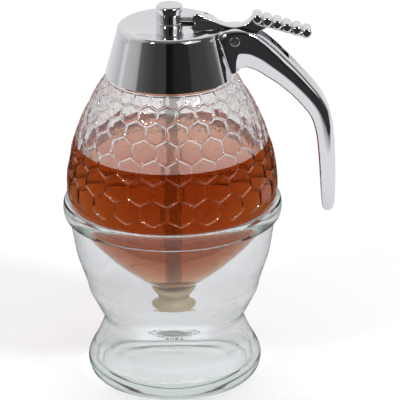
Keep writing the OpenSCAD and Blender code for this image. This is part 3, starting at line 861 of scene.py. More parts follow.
@dataclass
class Jar:
    """The egg-shaped jar with its honeycomb relief, plain neck and spout."""

    egg: Egg
    wall: float = 3.0
    cells: int = 24
    rows: tuple[float, ...] = (80.9, 89.19, 97.14, 104.49, 111.09, 116.91, 121.98)
    phase: float = -85.8
    shoulder_z: float = 123.4
    neck_r: float = 16.6
    bore: float = 14.2
    neck_top: float = 136.3
    funnel_z: float = 36.1
    spout_r: float = 5.9
    outlet_r: float = 4.6
    spout_l: float = 5.6
    honey_z: float = 95.6
    funnel_top: float = 67.0
    ridge_top: float = 93.2
    ridge_lean: float = 0.93

    def inner_at(self, z: float, depth: float = 0.0) -> Point:
        """The point of the inner wall at a height.

        Args:
            z: The height.
            depth: How far inwards of the wall the point is.

        Returns:
            Its radius and height.
        """
        outside = z
        for _ in range(12):
            outside += z - self.egg.point(outside, self.wall + depth)[1]
        return self.egg.point(outside, self.wall + depth)

    def level(self, row: int) -> tuple[float, float]:
        """Where the zigzag ridge above a row of cells runs.

        Args:
            row: The row, or -1 for the ridge under the first one.

        Returns:
            The ridge's lowest and highest height.
        """
        z = self.rows
        if row < 0:
            pitch = z[1] - z[0]
            return z[0] - 2 * pitch / 3, z[0] - pitch / 3
        if row == len(z) - 1:
            return self.shoulder_z, self.shoulder_z
        pitch = z[row + 1] - z[row]
        return z[row] + pitch / 3, z[row] + 2 * pitch / 3

    def below(self) -> list[Point]:
        """The smooth outside from under the cells down to the spout's end.

        Returns:
            Radius and height of each point.
        """
        start, end, steps = self.level(-1)[0] - 0.9, self.funnel_z, 34
        line = [self.egg.point(start - (start - end) * (k / steps) ** 1.15) for k in range(steps + 1)]
        tip = end - self.spout_l
        return line + [
            (self.spout_r + 0.4, end - 0.1), (self.spout_r, end - 0.6), (self.spout_r, end - 2.8),
            (self.spout_r, tip + 0.3), (self.spout_r - 0.3, tip), (self.outlet_r + 0.3, tip),
        ]

    def above(self) -> list[Point]:
        """The shoulder, the neck and then the whole inside down to the outlet.

        Returns:
            Radius and height of each point.
        """
        shoulder, top, neck, bore = self.shoulder_z, self.neck_top, self.neck_r, self.bore
        line = [
            (self.egg.shoulder_r - 0.5, shoulder + 0.3), (self.egg.shoulder_r - 3, shoulder + 0.45),
            (neck + 1.4, shoulder + 0.8), (neck, shoulder + 1.8), (neck, shoulder + 7), (neck, top - 0.7),
            (neck - 0.6, top), (bore + 0.6, top), (bore, top - 0.7), (bore, shoulder + 5), (bore, shoulder - 0.6),
        ]
        belly, egg_h = self.egg.belly_z, self.egg.upper_h
        inside = [self.egg.point(belly + egg_h * k / 33, self.wall) for k in range(30, -1, -1)]
        inside += [self.egg.point(belly - 1.5 * k, self.wall) for k in range(1, 25)]
        nearest = min(range(len(inside)), key=lambda i: abs(inside[i][1] - self.honey_z))
        inside[nearest] = self.inner_at(self.honey_z)
        seat_z = self.funnel_z + self.wall * 0.5
        return line + inside + [
            (self.outlet_r + 3, seat_z + 2.25), (self.outlet_r + 0.2, seat_z + 0.15),
            (self.outlet_r, seat_z - 0.3), (self.outlet_r, self.funnel_z - self.spout_l + 0.3),
        ]

    def build(self) -> None:
        """Wraps the cells round the egg, adds the smooth rings below and above and the inside, and sinks the cells."""
        around = self.cells * 4
        points, faces = [], []

        def put(r: float, z: float, q: float) -> int:
            """Adds a point.

            Args:
                r: Its radius.
                z: Its height.
                q: Its place round the axis, of all that a ring has.

            Returns:
                Its number.
            """
            a = math.radians(self.phase + q * 360 / around)
            points.append((r * math.cos(a), r * math.sin(a), z))
            return len(points) - 1

        levels, uprights = {}, {}
        for row in range(-1, len(self.rows)):
            low, high = self.level(row)
            ring = []
            for q in range(around):
                share = abs(((q / 2 - row) % 2) - 1)  # 1 over a cell's middle, 0 over its sides
                z = low + (high - low) * share
                ring.append(put(self.egg.radius(z), z, q))
            levels[row] = ring
        for row in range(len(self.rows)):
            for m in range(self.cells * 2):
                if (m - row) % 2:
                    z = (self.level(row - 1)[1] + self.level(row)[0]) / 2
                    uprights[row, m] = put(self.egg.radius(z), z, 2 * m)
        cells = set()
        for row in range(len(self.rows)):
            for m in range(row % 2, self.cells * 2, 2):
                low = [levels[row - 1][(2 * m + d) % around] for d in (-2, -1, 0, 1, 2)]
                high = [levels[row][(2 * m + d) % around] for d in (2, 1, 0, -1, -2)]
                right, left = (uprights[row, (m + d) % (self.cells * 2)] for d in (1, -1))
                cells.add(len(faces))
                faces.append((*low, right, *high, left))

        def skin(lower: list[int], upper: list[int]) -> None:
            """Joins two rings, the first below the second as seen from outside."""
            for q in range(around):
                s = (q + 1) % around
                faces.append((lower[q], lower[s], upper[s], upper[q]))

        def ring_of(p: Point) -> list[int]:
            """A level ring of points."""
            return [put(p[0], p[1], q) for q in range(around)]

        below, above = ([ring_of(p) for p in line] for line in (self.below(), self.above()))
        for upper, lower in zip(below, below[1:]):
            skin(lower, upper)
        skin(below[0], levels[-1])
        skin(levels[len(self.rows) - 1], above[0])
        for lower, upper in zip(above, above[1:]):
            skin(lower, upper)
        skin(above[-1], below[-1])
        piece = Bench.meshed("jar", points, faces)
        Bench.take(piece)
        Bench.select_by(2)
        for polygon in piece.data.polygons:
            polygon.select = polygon.index in cells
        bpy.ops.object.mode_set(mode="EDIT")
        for width, depth in CELL_STEPS:
            bpy.ops.mesh.inset(thickness=width * MM, depth=depth * MM, use_individual=True)
        Bench.close_mesh()
        Bench.select_by(0)
        Bench.shade(piece, 75)
        more = (Finish.WET_GLASS, Finish.FUNNEL_GLASS, Finish.BELLY_GLASS, Finish.RIDGE_GLASS)
        fit(piece, Finish.JAR_GLASS, "jar", ("glass_jar",), "jar_glass", *more)
        for polygon in piece.data.polygons:
            polygon.material_index = self.glass_at(polygon.center / MM, polygon.normal)

    def glass_at(self, middle: Vector, normal: Vector) -> int:
        """Which glass a face has.

        Args:
            middle: The face's middle in millimetres.
            normal: Its normal.

        Returns:
            0 for bare glass, 1 for wetted glass inside, 2 for the funnel, 3 for the belly and 4 for a ridge on them.
        """
        z = middle.z
        inside = self.egg.radius(z) - math.hypot(middle.x, middle.y) > self.wall - 0.8
        if inside:
            return int(self.funnel_z + 4 < z < self.honey_z)
        if not self.funnel_z < z < self.ridge_top:
            return 0
        smooth_r, smooth_z = self.egg.point(z, -1.0)
        out = Vector((middle.x, middle.y, 0)).normalized() * (smooth_r - self.egg.radius(z))
        out.z = smooth_z - z
        if normal.dot(out.normalized()) < self.ridge_lean:
            return 4
        return 2 if z < self.funnel_top else 3


@dataclass
class Honey:
    """The honey in the jar, which fills it to a level and creeps up the glass at its edge."""

    jar: Jar
    gap: float = 0.03
    low: float = 39.0
    steps: int = 44
    level_normal: float = 0.3

    def build(self) -> None:
        """Turns the filling and fits it to the jar."""
        jar = self.jar
        start, end, steps = jar.funnel_z + jar.wall * 0.5 + 2.25, jar.honey_z, self.steps
        side = [(0.0, self.low), (5.5, self.low), (jar.outlet_r + 3 - self.gap, start + self.gap)]
        side += [jar.inner_at(start + 1.6 + (end - start - 1.6) * k / steps, self.gap) for k in range(steps + 1)]
        r = side[-1][0]
        top = [
            (r - 0.25, end - 0.28), (r - 0.6, end - 0.5), (r - 1.2, end - 0.7), (r - 2.4, end - 0.85),
            (r - 5, end - 0.9), (0.0, end - 0.9),
        ]
        piece = Bench.shade(Bench.turned("honey", side + top, 144), 60)
        fit(piece, Finish.HONEY, "jar", (), "jar_glass", Finish.HONEY_SIDE)
        for polygon in piece.data.polygons:
            polygon.material_index = int(polygon.normal.z < self.level_normal)


@dataclass
class Nozzle:
    """The soft spool-shaped nozzle on the spout."""

    top: float = 35.9
    height: float = 8.2
    radius: float = 8.6
    bore: float = 3.8
    spout_r: float = 5.9
    outlet_r: float = 4.6
    spout_low: float = 30.5
    ring: float = 1.4

    def build(self) -> None:
        """Turns the nozzle and fits it."""
        low = self.top - self.height
        side = smooth([
            (self.radius, low + 0.6), (self.radius - 1.5, low + 1.5), (self.radius - 2.5, low + 2.9),
            (self.radius - 2.5, low + 4.1), (self.radius - 1.4, low + 5.6), (self.radius - 0.1, self.top - self.ring),
            (self.radius, self.top - self.ring + 0.3),
        ], 4)
        outline = rounded(
            [(self.bore, low + 0.6), (self.bore + 0.4, low), (self.radius - 0.2, low), (self.radius, low + 0.3)], 0.2
        ) + side + rounded([
            (self.radius, self.top - 0.5), (self.radius, self.top), (self.spout_r, self.top),
            (self.spout_r, self.spout_low), (self.outlet_r, self.spout_low), (self.bore, self.spout_low - 0.8),
        ], 0.3)
        piece = Bench.shade(Bench.turned("spool_nozzle", outline, 80, closed=True), 40)
        fit(piece, Finish.NOZZLE, "jar", ("outlet_nozzle",), "nozzle")


# ---------- Cap and handle ----------

# The handle from its root to its end: shares of the reach and the drop, then of the grip's depth and its width
HANDLE_LINE = [
    (0.005, 0.114, 2.79, 1.6), (0.046, 0.114, 2.79, 1.6), (0.066, 0.114, 2.79, 1.56),
    (0.092, 0.114, 2.79, 1.39), (0.125, 0.114, 2.79, 1.21), (0.162, 0.107, 2.63, 1.08),
    (0.22, 0.104, 2.53, 1.01), (0.275, 0.108, 2.37, 1.0), (0.338, 0.118, 2.21, 1.0),
    (0.437, 0.15, 1.98, 1.0), (0.54, 0.198, 1.76, 1.0), (0.646, 0.251, 1.56, 1.0),
    (0.756, 0.316, 1.4, 1.0), (0.851, 0.381, 1.32, 1.0), (0.922, 0.447, 1.21, 1.0),
    (0.962, 0.52, 1.15, 1.0), (0.982, 0.603, 1.1, 1.0), (0.993, 0.715, 1.03, 1.0),
    (0.999, 0.847, 0.95, 0.98), (1.0, 0.945, 0.8, 0.86), (1.0, 0.983, 0.54, 0.66), (1.0, 1.0, 0.15, 0.3),
]


@dataclass
class Cap:
    """The plated cap, cast in one with its curved handle."""

    rim_r: float = 25.1
    rim_z: float = 124.2
    crest_r: float = 20.3
    crest_round: float = 2.0
    crest_z: float = 143.6
    wall: float = 1.8
    plate_top: float = 140.2
    plate_bottom: float = 138.0
    collar_r: float = 5.2
    stem_r: float = 3.6
    reach: float = 63.4
    drop: float = 76.1
    width: float = 12.4
    grip: float = 6.2
    slot_w: float = 6.0
    slot_end: float = 10.35
    nose_x: float = 8.3
    pivot: Point = (24.7, 138.1)
    head_r: float = 1.95
    head_y: float = 5.7

    def side_r(self, z: float) -> float:
        """Radius of the conical side at height z."""
        return self.rim_r - self.side_rise * (z - self.rim_z)

    @property
    def side_rise(self) -> float:
        """How far the side leans in for each millimetre of height."""
        return (self.rim_r - self.crest_r) / (self.crest_z - self.rim_z - self.crest_round)

    def shell_outline(self) -> list[Point]:
        """The cap's half section: side, rounded crest, dished top and hollow.

        Returns:
            Radius and height of each point.
        """
        crest = (self.crest_r - self.crest_round, self.crest_z - self.crest_round)
        across = (crest[0] - self.collar_r - 0.8, crest[1] - self.plate_top)
        lean = math.degrees(math.atan2(across[1], across[0]) + math.asin(self.crest_round / math.hypot(*across)))
        start = math.degrees(math.atan(self.side_rise))
        rim = [(self.side_r(self.rim_z) - self.wall, self.rim_z), (self.rim_r - 0.1, self.rim_z)]
        rim += [(self.side_r(self.rim_z + 0.1), self.rim_z + 0.1)]
        rise = self.crest_z - self.rim_z - self.crest_round
        side = [(self.side_r(self.rim_z + d), self.rim_z + d) for d in (0.8, 1.3, 3, 6, 9, 12, rise - 1.5, rise - 0.4)]
        dish = arc(crest, self.crest_round, start, 90 + lean, 14)
        end = dish[-1]
        flat = (self.collar_r + 0.8, self.plate_top)
        slope = [(end[0] + (flat[0] - end[0]) * k / 6, end[1] + (flat[1] - end[1]) * k / 6) for k in range(1, 7)]
        return rim + side + dish + slope + [
            (self.stem_r, self.plate_top), (self.stem_r, self.plate_bottom),
            (self.side_r(self.plate_bottom) - self.wall, self.plate_bottom),
        ]

    def handle_at(self, t: float) -> tuple[float, float, float, float]:
        """The handle at a place of its line.

        Args:
            t: The place.

        Returns:
            X and Z of the handle's middle, half its depth and half its width.
        """
        x0, top = self.crest_r - 3.3, self.plate_top + 2.2
        p = curve_at(HANDLE_LINE, t)
        return (
            x0 + p[0] * (self.reach - self.grip / 2 - x0), top - p[1] * self.drop,
            p[2] * self.grip / 2, p[3] * self.width / 2,
        )

    def handle_side(self, t: float) -> Vector:
        """The direction square to the handle's run, towards its outside.

        Args:
            t: The place on the handle's line.

        Returns:
            The direction in X and Z.
        """
        a, b = self.handle_at(max(t - 0.2, 4)), self.handle_at(min(max(t, 5) + 0.2, len(HANDLE_LINE) - 1))
        run = Vector((b[0] - a[0], b[1] - a[1])).normalized()
        s = min(1.0, max(0.0, (t - 4) / 3))
        return (Vector((-run.y, run.x)) * s + Vector((-self.side_rise, 1)) * (1 - s)).normalized()

    def section(self, t: float) -> list[Point3]:
        """The handle's cross-section: flat above with rounded corners, slanted inwards below.

        Args:
            t: The place on the handle's line.

        Returns:
            The section as a ring of points.
        """
        cx, cz, h, w = self.handle_at(t)
        n = self.handle_side(t)
        s, far = min(1.0, max(0.0, (t - 4) / 4)), min(1.0, max(0.0, (t - 7) / 2))
        slant = max(0.04, min(0.8, (t - 4.3) / 1.8)) * h
        corners = [(0.0, -h), (w - 0.2 * slant, -h), (w, slant - h), (w, h), (0.0, h)]
        cuts = (0.3 + 0.6 * far, 0.3 + 1.2 * s, min(2.4 - 1.7 * s + 3.2 * far, 0.9 * h, 0.7 * w))
        half = [corners[0]]
        for k, cut in enumerate(cuts):
            before, corner, after = (Vector(p) for p in corners[k:k + 3])
            reach = min(cut, (before - corner).length * 0.6, (after - corner).length * (0.7 if k == 2 else 0.38))
            a, b = corner + (before - corner).normalized() * reach, corner + (after - corner).normalized() * reach
            start = Vector(half[-1])
            half += [tuple(start.lerp(a, f / 5)) for f in range(1, 6)]
            half += bend(a, corner, b, 6)[1:]
        half += [tuple(Vector(half[-1]).lerp(Vector(corners[-1]), f / 5)) for f in range(1, 6)]
        ring = half + [(-x, z) for x, z in reversed(half[1:-1])]
        return [(cx + n.x * q, p, cz + n.y * q) for p, q in ring]

    def slot_outline(self) -> list[Point]:
        """Side view of the slot that the lever lies in.

        Returns:
            X and Z of each point.
        """
        px, pz = self.pivot
        floor = []
        for k in range(20):
            t = 6 + 0.25 * k
            if t > self.slot_end + 0.15:
                break
            c, n = self.handle_at(t), self.handle_side(t)
            floor.append((c[0] + n.x * c[2] * 0.1, c[1] + n.y * c[2] * 0.1))
        e, side = self.handle_at(self.slot_end), self.handle_side(self.slot_end)
        top, flat = self.crest_z + 4, self.plate_top + 0.5
        return [
            (self.nose_x - 1, top), (self.nose_x - 1, flat), (px - 3.5, flat), (px - 3.5, pz - 3.9), (px + 1, pz - 3.9),
            *floor, (e[0] + side.x * e[2] * 1.2, e[1] + side.y * e[2] * 1.2), (e[0] + 6, top),
        ]

    def saddle(self) -> Piece:
        """The tool that hollows the way out of the dished top to the handle, rising a little outwards.

        Returns:
            The tool, to be cut out of the cap.
        """
        half = [(3.2, 0.0), (6, 0.25), (9, 0.8), (12, 1.8), (12, 9)]
        base = [(-3.2, 0.0)] + half + [(-p, q) for p, q in half[:0:-1]]
        x, z, rise = self.collar_r + 3.3, self.plate_top + 0.75, math.atan(0.1)
        c, s = math.cos(rise), math.sin(rise)
        return Bench.lofted("saddle", [
            [(x + d * c - q * s, p, z + d * s + q * c) for p, q in base] for d in (0.0, self.crest_r)
        ])

    def build(self) -> None:
        """Turns the cap, lofts the handle into it, and cuts the slot, the saddle and the seat of the pin's head."""
        shell = Bench.turned("cap_and_handle", self.shell_outline(), 144, closed=True)
        last = len(HANDLE_LINE) - 1
        handle = Bench.lofted("handle", [self.section(last * k / 110) for k in range(111)])
        inner = self.side_r(self.rim_z) - self.wall
        hollow = Bench.turned("hollow", [
            (0.0, self.rim_z - 12), (inner, self.rim_z - 12), (inner, self.rim_z),
            (self.side_r(self.plate_bottom) - self.wall, self.plate_bottom), (0.0, self.plate_bottom),
        ], 96)
        Bench.combine(handle, hollow)
        r = self.crest_r - self.crest_round
        Bench.combine(handle, Bench.drum("dish", r, self.plate_top - 0.5, self.plate_top + 11.5, 96))
        Bench.combine(shell, handle, "UNION")
        Bench.combine(shell, Bench.cut_out("slot", self.slot_outline(), self.slot_w / 2))
        Bench.combine(shell, self.saddle())
        seat = Bench.drum("seat", self.head_r + 0.1, self.head_y, self.head_y + 3, 48)
        Bench.combine(shell, Bench.place(seat, (self.pivot[0], 0, self.pivot[1]), (90, 0, 0)))
        Bench.shade(shell, 32)
        fit(shell, Finish.CHROME, "cap", ("cap_shell",), "chrome")


@dataclass
class Guide:
    """The collar that the rod slides in, and the knob above it."""

    plate_top: float = 140.2
    plate_bottom: float = 138.0
    collar_r: float = 5.2
    collar_top: float = 144.2
    stem_r: float = 3.6
    bore: float = 2.55
    nut_h: float = 3.0
    knob_r: float = 5.15
    knob_low: float = 144.35
    knob_h: float = 7.1
    rod_r: float = 2.5
    rod_top: float = 149.45
    mouth_x: float = -1.6
    mouth_w: float = 6.0
    mouth_top: float = 145.65
    prong_z: float = 144.45

    def build(self) -> None:
        """Turns the collar and the knob and mills the fork's opening into both."""
        low, half, knob_r = self.plate_bottom - self.nut_h, self.mouth_w / 2, self.knob_r
        collar = Bench.turned("guide_ring", rounded([
            (self.bore, low), (self.stem_r, low), (self.stem_r, self.plate_top), (self.collar_r, self.plate_top),
            (self.collar_r, self.collar_top), (self.bore, self.collar_top), (self.bore, low + 0.1),
        ], 0.3)[:-1], 96, closed=True)
        mouth = (self.mouth_x, -half, self.prong_z - 1.3), (self.collar_r + 3, half, self.prong_z + 3)
        Bench.combine(collar, Bench.block("mouth", *mouth))
        Bench.shade(collar, 40)
        fit(collar, Finish.CHROME, "cap", ("guide_collar",), "chrome")
        low, top, lip_r = self.knob_low, self.knob_low + self.knob_h, knob_r + 0.25
        outline = rounded([(self.rod_r, low), (lip_r, low), (lip_r, low + 0.4)], 0.15)
        outline += [(knob_r, low + 0.6), (knob_r, top - 3)] + arc((knob_r - 1, top - 1), 1, 0, 90, 8)
        outline += [(2.0, top), (0.0, top), (0.0, self.rod_top), (self.rod_r, self.rod_top)]
        knob = Bench.turned("knob", outline, 96, closed=True)
        for x, z in ((self.mouth_x, self.mouth_top), (knob_r - 1.2, top - 2.6)):
            Bench.combine(knob, Bench.block("cut", (x, -half, low - 1), (knob_r + 3, half, z)))
        Bench.shade(knob, 40)
        fit(knob, Finish.CHROME, "rod", ("lift_knob",), "chrome")


@dataclass
class Lever:
    """The thumb lever with its ribbed pad and its fork, and the pin that it turns on."""

    pivot: Point = (24.7, 138.1)
    nose_x: float = 8.3
    nose_low: float = 141.1
    width: float = 5.2
    pad_w: float = 8.0
    ribs: int = 6
    rib_r: float = 1.95
    rib_pitch: float = 3.94
    pad_slope: float = 17.7
    rib: Point = (33.5, 145.9)
    prong_y: float = 2.8
    prong_t: float = 1.0
    prong_z: float = 144.45
    prong_h: float = 2.0
    prong_tip: float = -1.0

    def side(self) -> list[Point]:
        """Side view of the arm, from its block nose to the start of the pad.

        Returns:
            X and Z of each point.
        """
        px, pz = self.pivot
        nx, nl = self.nose_x, self.nose_low
        rx, rz = self.rib
        a = math.radians(self.pad_slope)
        lug = arc(self.pivot, 3.1, 185, 335, 12)
        lower = [
            (nx, nl + 1.2), (nx + 0.3, nl + 0.4), (nx + 0.9, nl), (nx + 7.9, nl + 0.6), (px - 4.4, nl + 1.1),
            (px - 3.1, pz + 1.6),
        ]
        after = [(px + 5.5, pz + 0.4), (px + 8.6, pz + 1.6), (px + 12.4, pz + 4.2)]
        pad = [(rx - self.rib_r * math.sin(a), rz - self.rib_r * math.cos(a)), (rx - 1.8, rz + 0.6)]
        top = smooth([
            (rx - 3, pz + 6.6), (px + 3.6, pz + 5.3), (px + 1.4, pz + 4.7), (px - 0.6, pz + 4.6), (px - 2.6, pz + 5),
            (px - 6, pz + 6.3), (nx + 5.9, pz + 8.4), (nx + 2.6, pz + 10.1),
        ], 5)
        nose = [(nx + 1.8, pz + 10.2), (nx + 0.8, pz + 9.5), (nx + 0.15, pz + 8.4), (nx, pz + 7.4)]
        return lower + lug + after + pad + top + nose

    def build(self) -> None:
        """Cuts the arm out, adds ribs, pad and prongs, and turns the pin."""
        arm = Bench.cut_out("thumb_piece", self.side(), self.width / 2, 0.45)
        half, r = self.pad_w / 2, self.rib_r
        end = arc((r - 0.9, half - 0.9), 0.9, 0, 90, 6)
        outline = [(0.0, -half)] + [(x, -z) for x, z in reversed(end)] + end + [(0.0, half)]
        rib = Bench.place(Bench.turned("rib", outline, 32), (0, 0, 0), (90, 0, 0))
        parts = [arm]
        a = math.radians(self.pad_slope)
        for k in range(self.ribs):
            d = k * self.rib_pitch
            parts.append(Bench.copy(rib, (self.rib[0] + d * math.cos(a), 0, self.rib[1] - d * math.sin(a))))
        bpy.data.objects.remove(rib)
        run = (self.ribs - 1) * self.rib_pitch
        pad = Bench.block("pad", (-0.4, -half + 0.3, -r + 0.1), (run + 0.4, half - 0.3, 0.1), 0.3)
        parts.append(Bench.place(pad, (self.rib[0], 0, self.rib[1]), (0, self.pad_slope, 0)))
        tip, root, z = self.prong_tip, self.nose_x + 1.5, self.prong_z - self.prong_h / 2
        for y in (-self.prong_y, self.prong_y - self.prong_t):
            parts.append(Bench.block("prong", (tip, y, z), (root, y + self.prong_t, z + self.prong_h), 0.25))
        piece = Bench.shade(Bench.join(parts), 40)
        fit(piece, Finish.CHROME, "lever", ("thumb_lever",), "chrome")
        head = Bench.turned("pin", [
            (0.0, -5.6), (1.3, -5.6), (1.5, -5.4), (1.5, 5.7), (1.95, 5.7), (1.95, 6.32), (1.87, 6.44),
            (1.72, 6.5), (1.6, 6.505), (0.0, 6.51),
        ], 48)
        Bench.place(head, (self.pivot[0], 0, self.pivot[1]), (90, 0, 0))
        Bench.shade(head, 45)
        fit(head, Finish.STEEL, "cap", ("lever_pin",), "steel")


@dataclass
class Valve:
    """The rod through the jar with its stopper, and the spring that closes it."""

    rod_r: float = 2.5
    neck_r: float = 1.6
    low: float = 39.32
    top: float = 149.45
    neck_low: float = 142.6
    neck_top: float = 145.65
    stopper_low: float = 37.72
    outlet_r: float = 4.6
    stopper_r: float = 6.9
    stopper_h: float = 3.0
    spring_r: float = 4.3
    wire: float = 0.7
    coils: int = 7
    spring_low: float = 121.98
    spring_top: float = 134.98
    groove: Point = (120.18, 120.98)

    def build(self) -> None:
        """Turns the rod and the stopper and winds the spring."""
        low, high = self.groove
        rod = Bench.turned("rod", [
            (0.0, self.low), (self.rod_r, self.low), (self.rod_r, low), (self.rod_r - 0.6, low + 0.02),
            (self.rod_r - 0.6, high - 0.02), (self.rod_r, high), (self.rod_r, self.neck_low),
            (self.neck_r, self.neck_low), (self.neck_r, self.neck_top), (self.rod_r, self.neck_top),
            (self.rod_r, self.top - 0.3), (self.rod_r - 0.3, self.top), (0.0, self.top),
        ], 64)
        Bench.shade(rod, 40)
        fit(rod, Finish.STEEL, "rod", ("valve_rod",), "steel")
        cone = self.stopper_low + 0.75 * (self.stopper_r - self.outlet_r + 0.3)
        stopper = Bench.turned("stopper_cone", rounded([
            (0.0, self.stopper_low), (self.outlet_r - 0.3, self.stopper_low), (self.stopper_r, cone),
            (self.stopper_r, cone + self.stopper_h), (2.6, cone + self.stopper_h + 0.02), (0.0, cone + self.stopper_h),
        ], 0.8), 64)
        Bench.shade(stopper, 40)
        fit(stopper, Finish.STOPPER, "rod", ("valve_stopper",), "stopper")
        self.wind()

    def wind(self) -> None:
        """Winds the spring as one wire with its end coils close."""
        per, sides, c = 24, 10, 1 / self.coils
        free = self.spring_top - self.spring_low - self.wire
        close = self.wire * 1.05 / free
        rings = []
        for k in range(self.coils * per + 1):
            u = k / (self.coils * per)
            if u < c:
                rise = close * u / c
            elif u > 1 - c:
                rise = 1 - close * (1 - u) / c
            else:
                rise = close + (1 - 2 * close) * (u - c) / (1 - 2 * c)
            a = 2 * math.pi * self.coils * u
            ring = []
            for j in range(sides):
                b = 2 * math.pi * j / sides
                r = self.spring_r + self.wire / 2 * math.cos(b)
                z = self.spring_low + self.wire / 2 + free * rise + self.wire / 2 * math.sin(b)
                ring.append((r * math.cos(a), r * math.sin(a), z))
            rings.append(ring)
        spring = Bench.shade(Bench.lofted("coil_spring", rings), 60)
        paint(spring, Finish.SPRING_STEEL)
        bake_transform(spring)
        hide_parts("return_spring")
        LOG.info("%s: %d faces", spring.name, len(spring.data.polygons))


# ---------- Studio ----------


# What metal shows of the room: share of a turn from behind, round by the left, and how bright it is there
ROOM = (
    (0.0, 0.85), (0.16, 0.8), (0.236, 0.74), (0.242, 0.56), (0.30, 0.48), (0.322, 0.4), (0.332, 0.13),
    (0.37, 0.085), (0.42, 0.05), (0.474, 0.05), (0.48, 0.005), (0.512, 0.01), (0.524, 0.02), (0.6, 0.024),
    (0.61, 0.05), (0.7, 0.06), (0.77, 0.11), (0.8, 0.5), (0.86, 0.85),
)


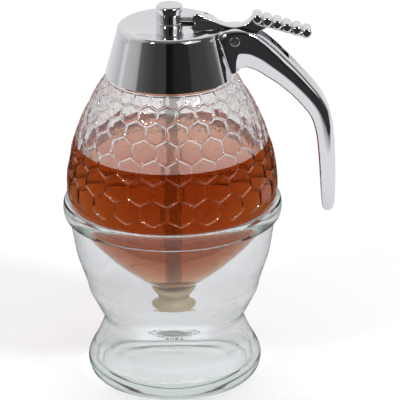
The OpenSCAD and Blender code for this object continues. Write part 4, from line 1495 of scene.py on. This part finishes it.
@dataclass
class Studio:
    """Floor, light, background and camera.

    Distances are metres. The window's sides are shares of a turn from the room's front, and its sill, the ceiling
    and the sheen are heights on a room of radius 1. The shares are what glass passes on of the room.
    """

    distance: float = 1.50806
    height: float = 0.68749
    yaw: float = 0.0071004
    pitch: float = 0.388234
    roll: float = -0.0130566
    focal_px: float = 4190.79
    width_px: int = 400
    floor_front: Point = (-0.275, -0.235)
    floor_share: float = 0.25
    room_share: float = 0.35
    window: Point = (0.09, 0.2)
    sill: float = 0.22
    ceiling: Point = (0.8, 0.92)
    sheen: Point = (0.45, 0.6)
    lamp_target: float = 0.07
    bounces: int = 28

    def camera(self) -> None:
        """Puts the camera where the photograph was taken from."""
        data = bpy.data.cameras.new("camera")
        data.sensor_width, data.lens = 36, 36 * self.focal_px / self.width_px
        data.clip_start, data.clip_end = 0.05, 50
        camera = bpy.data.objects.new("camera", data)
        bpy.context.collection.objects.link(camera)
        c = math.cos(self.pitch)
        ahead = Vector((math.sin(self.yaw) * c, math.cos(self.yaw) * c, -math.sin(self.pitch)))
        right = Vector((math.cos(self.yaw), -math.sin(self.yaw), 0))
        up = right.cross(ahead)
        r = right * math.cos(self.roll) + up * math.sin(self.roll)
        u = up * math.cos(self.roll) - right * math.sin(self.roll)
        rows = [(r[i], u[i], -ahead[i], (0, -self.distance, self.height)[i]) for i in range(3)]
        camera.matrix_world = Matrix((*rows, (0, 0, 0, 1)))
        bpy.context.scene.camera = camera

    @staticmethod
    def mirrored(n: Nodes, path: Node, glass: float) -> Socket:
        """How much of the room a ray shows: all of it off a first surface, a share of it through glass.

        Args:
            n: The material's nodes.
            path: Its Light Path node.
            glass: The share that shows through glass.

        Returns:
            A factor from 0 to 1.
        """
        inside = n.math("GREATER_THAN", path.outputs["Transmission Depth"], 0.5)
        share = n.math("SUBTRACT", 1.0, n.math("MULTIPLY", inside, 1.0 - glass))
        return n.math("MULTIPLY", path.outputs["Is Glossy Ray"], share)

    @staticmethod
    def off_glass(n: Nodes, path: Node) -> Socket:
        """1 for a ray that a glass surface throws back towards the room, told by its being perfectly sharp."""
        outside = n.math("LESS_THAN", path.outputs["Transmission Depth"], 0.5)
        sharp = n.math("MULTIPLY", path.outputs["Is Singular Ray"], path.outputs["Is Glossy Ray"])
        return n.math("MULTIPLY", sharp, outside)

    def floor(self) -> None:
        """A plain pale floor, darker towards the room's front in reflections."""
        Bench.clear()
        bpy.ops.mesh.primitive_plane_add(size=12, location=(0, 0, -0.0002))
        floor = bpy.context.object
        floor.name = "floor"
        material, n, shader, _ = new_material("floor")
        path = n.add("ShaderNodeLightPath")
        front = n.span(n.split(n.place())["Y"], self.floor_front)
        seen = n.math("MAXIMUM", front, n.math("SUBTRACT", 1.0, self.mirrored(n, path, self.floor_share)))
        seen = n.math("MULTIPLY", seen, n.math("SUBTRACT", 1.0, self.off_glass(n, path)))
        colour = n.mix(seen, (0.03, 0.03, 0.032), (0.76, 0.765, 0.775))
        colour = n.mix(path.outputs["Is Camera Ray"], colour, (0.96, 0.96, 0.96))
        n.fill(shader, {"Roughness": 1.0, "Specular IOR Level": 0.0, "Base Color": colour})
        floor.data.materials.append(material)

    def world(self) -> None:
        """A white surround that the camera sees, with a darker front that metal and glass show."""
        world = bpy.data.worlds.new("surround")
        bpy.context.scene.world = world
        world.use_nodes = True
        n = Nodes(world.node_tree)
        path = n.add("ShaderNodeLightPath")
        x, y, z = n.split(n.place("Generated"))
        # Angle from the room's front as a share of a full turn: 0 ahead, 0.25 at the right, -0.5 and 0.5 behind
        angle = n.math("DIVIDE", n.math("ARCTAN2", x, n.math("MULTIPLY", y, -1.0)), 2 * math.pi)
        ramp = n.add("ShaderNodeValToRGB", {0: n.math("ADD", angle, 0.5)})
        row = ramp.color_ramp.elements
        while len(row) < len(ROOM):
            row.new(0.5)
        for element, (where, value) in zip(row, ROOM):
            element.position, element.color = where, (value, value, value * 1.01, 1)
        left, right = self.window
        window = n.math("MULTIPLY", n.math("GREATER_THAN", angle, left), n.math("LESS_THAN", angle, right))
        window = n.math("MULTIPLY", window, n.math("GREATER_THAN", z, self.sill))
        seen = n.mix(window, ramp.outputs[0], (0.85, 0.85, 0.86))
        seen = n.mix(n.span(z, self.ceiling, kind="SMOOTHSTEP"), seen, (0.16, 0.16, 0.165))
        plain = n.math("SUBTRACT", 1.0, self.mirrored(n, path, self.room_share))
        seen = n.mix(plain, seen, (0.72, 0.725, 0.735))
        seen = n.mix(self.off_glass(n, path), seen, n.span(z, self.sheen, (0.02, 0.9), "SMOOTHSTEP"))
        seen = n.mix(path.outputs["Is Camera Ray"], seen, (1, 1, 1))
        back = n.add("ShaderNodeBackground", {"Color": seen})
        n.add("ShaderNodeOutputWorld", {"Surface": back.outputs[0]})

    def lamp(
        self, name: str, azimuth: float, elevation: float, size: float, power: float, shown: bool = True
    ) -> None:
        """Adds a soft square lamp that looks at the object.

        Args:
            name: The lamp's name.
            azimuth: Degrees to the right of the room's front.
            elevation: Degrees above the floor.
            size: Side of the square in metres.
            power: Watts.
            shown: Whether metal and glass show it.
        """
        data = bpy.data.lights.new(name, "AREA")
        data.size, data.energy = size, power
        lamp = bpy.data.objects.new(name, data)
        bpy.context.collection.objects.link(lamp)
        a, e, away = math.radians(azimuth), math.radians(elevation), 1.6
        way = Vector((math.sin(a) * math.cos(e), -math.cos(a) * math.cos(e), math.sin(e)))
        lamp.location = way * away + Vector((0, 0, self.lamp_target))
        lamp.rotation_euler = way.to_track_quat("Z", "Y").to_euler()
        lamp.visible_glossy, lamp.visible_transmission = shown, False

    def build(self) -> None:
        """Builds the whole studio."""
        self.camera()
        self.floor()
        self.world()
        self.lamp("key", 48, 42, 0.2, 7)
        self.lamp("fill", -44, 42, 0.14, 3.5)
        self.lamp("back", 180, 60, 0.9, 5, shown=False)
        bpy.context.scene.view_settings.view_transform = "Standard"
        for limit in ("max_bounces", "transmission_bounces", "glossy_bounces"):
            setattr(bpy.context.scene.cycles, limit, self.bounces)


def main() -> None:
    """Builds the studio and every piece, in order."""
    logging.basicConfig(level=logging.INFO, format="%(name)s: %(message)s")
    Studio().build()
    egg = Egg()
    jar = Jar(egg)
    for part in (Stand(egg), jar, Honey(jar), Nozzle(), Cap(), Guide(), Lever(), Valve()):
        part.build()
    for node, finish in (
        ("cap_gasket", Finish.SEAL), ("thread_liner", Finish.LINER), ("guide_nut", Finish.STEEL),
        ("rod_seal", Finish.O_RING), ("spring_seat", Finish.STEEL), ("retaining_clip", Finish.STEEL),
        ("stopper_screw", Finish.STEEL),
    ):
        refinish(node, finish)


if __name__ == "__main__":
    main()
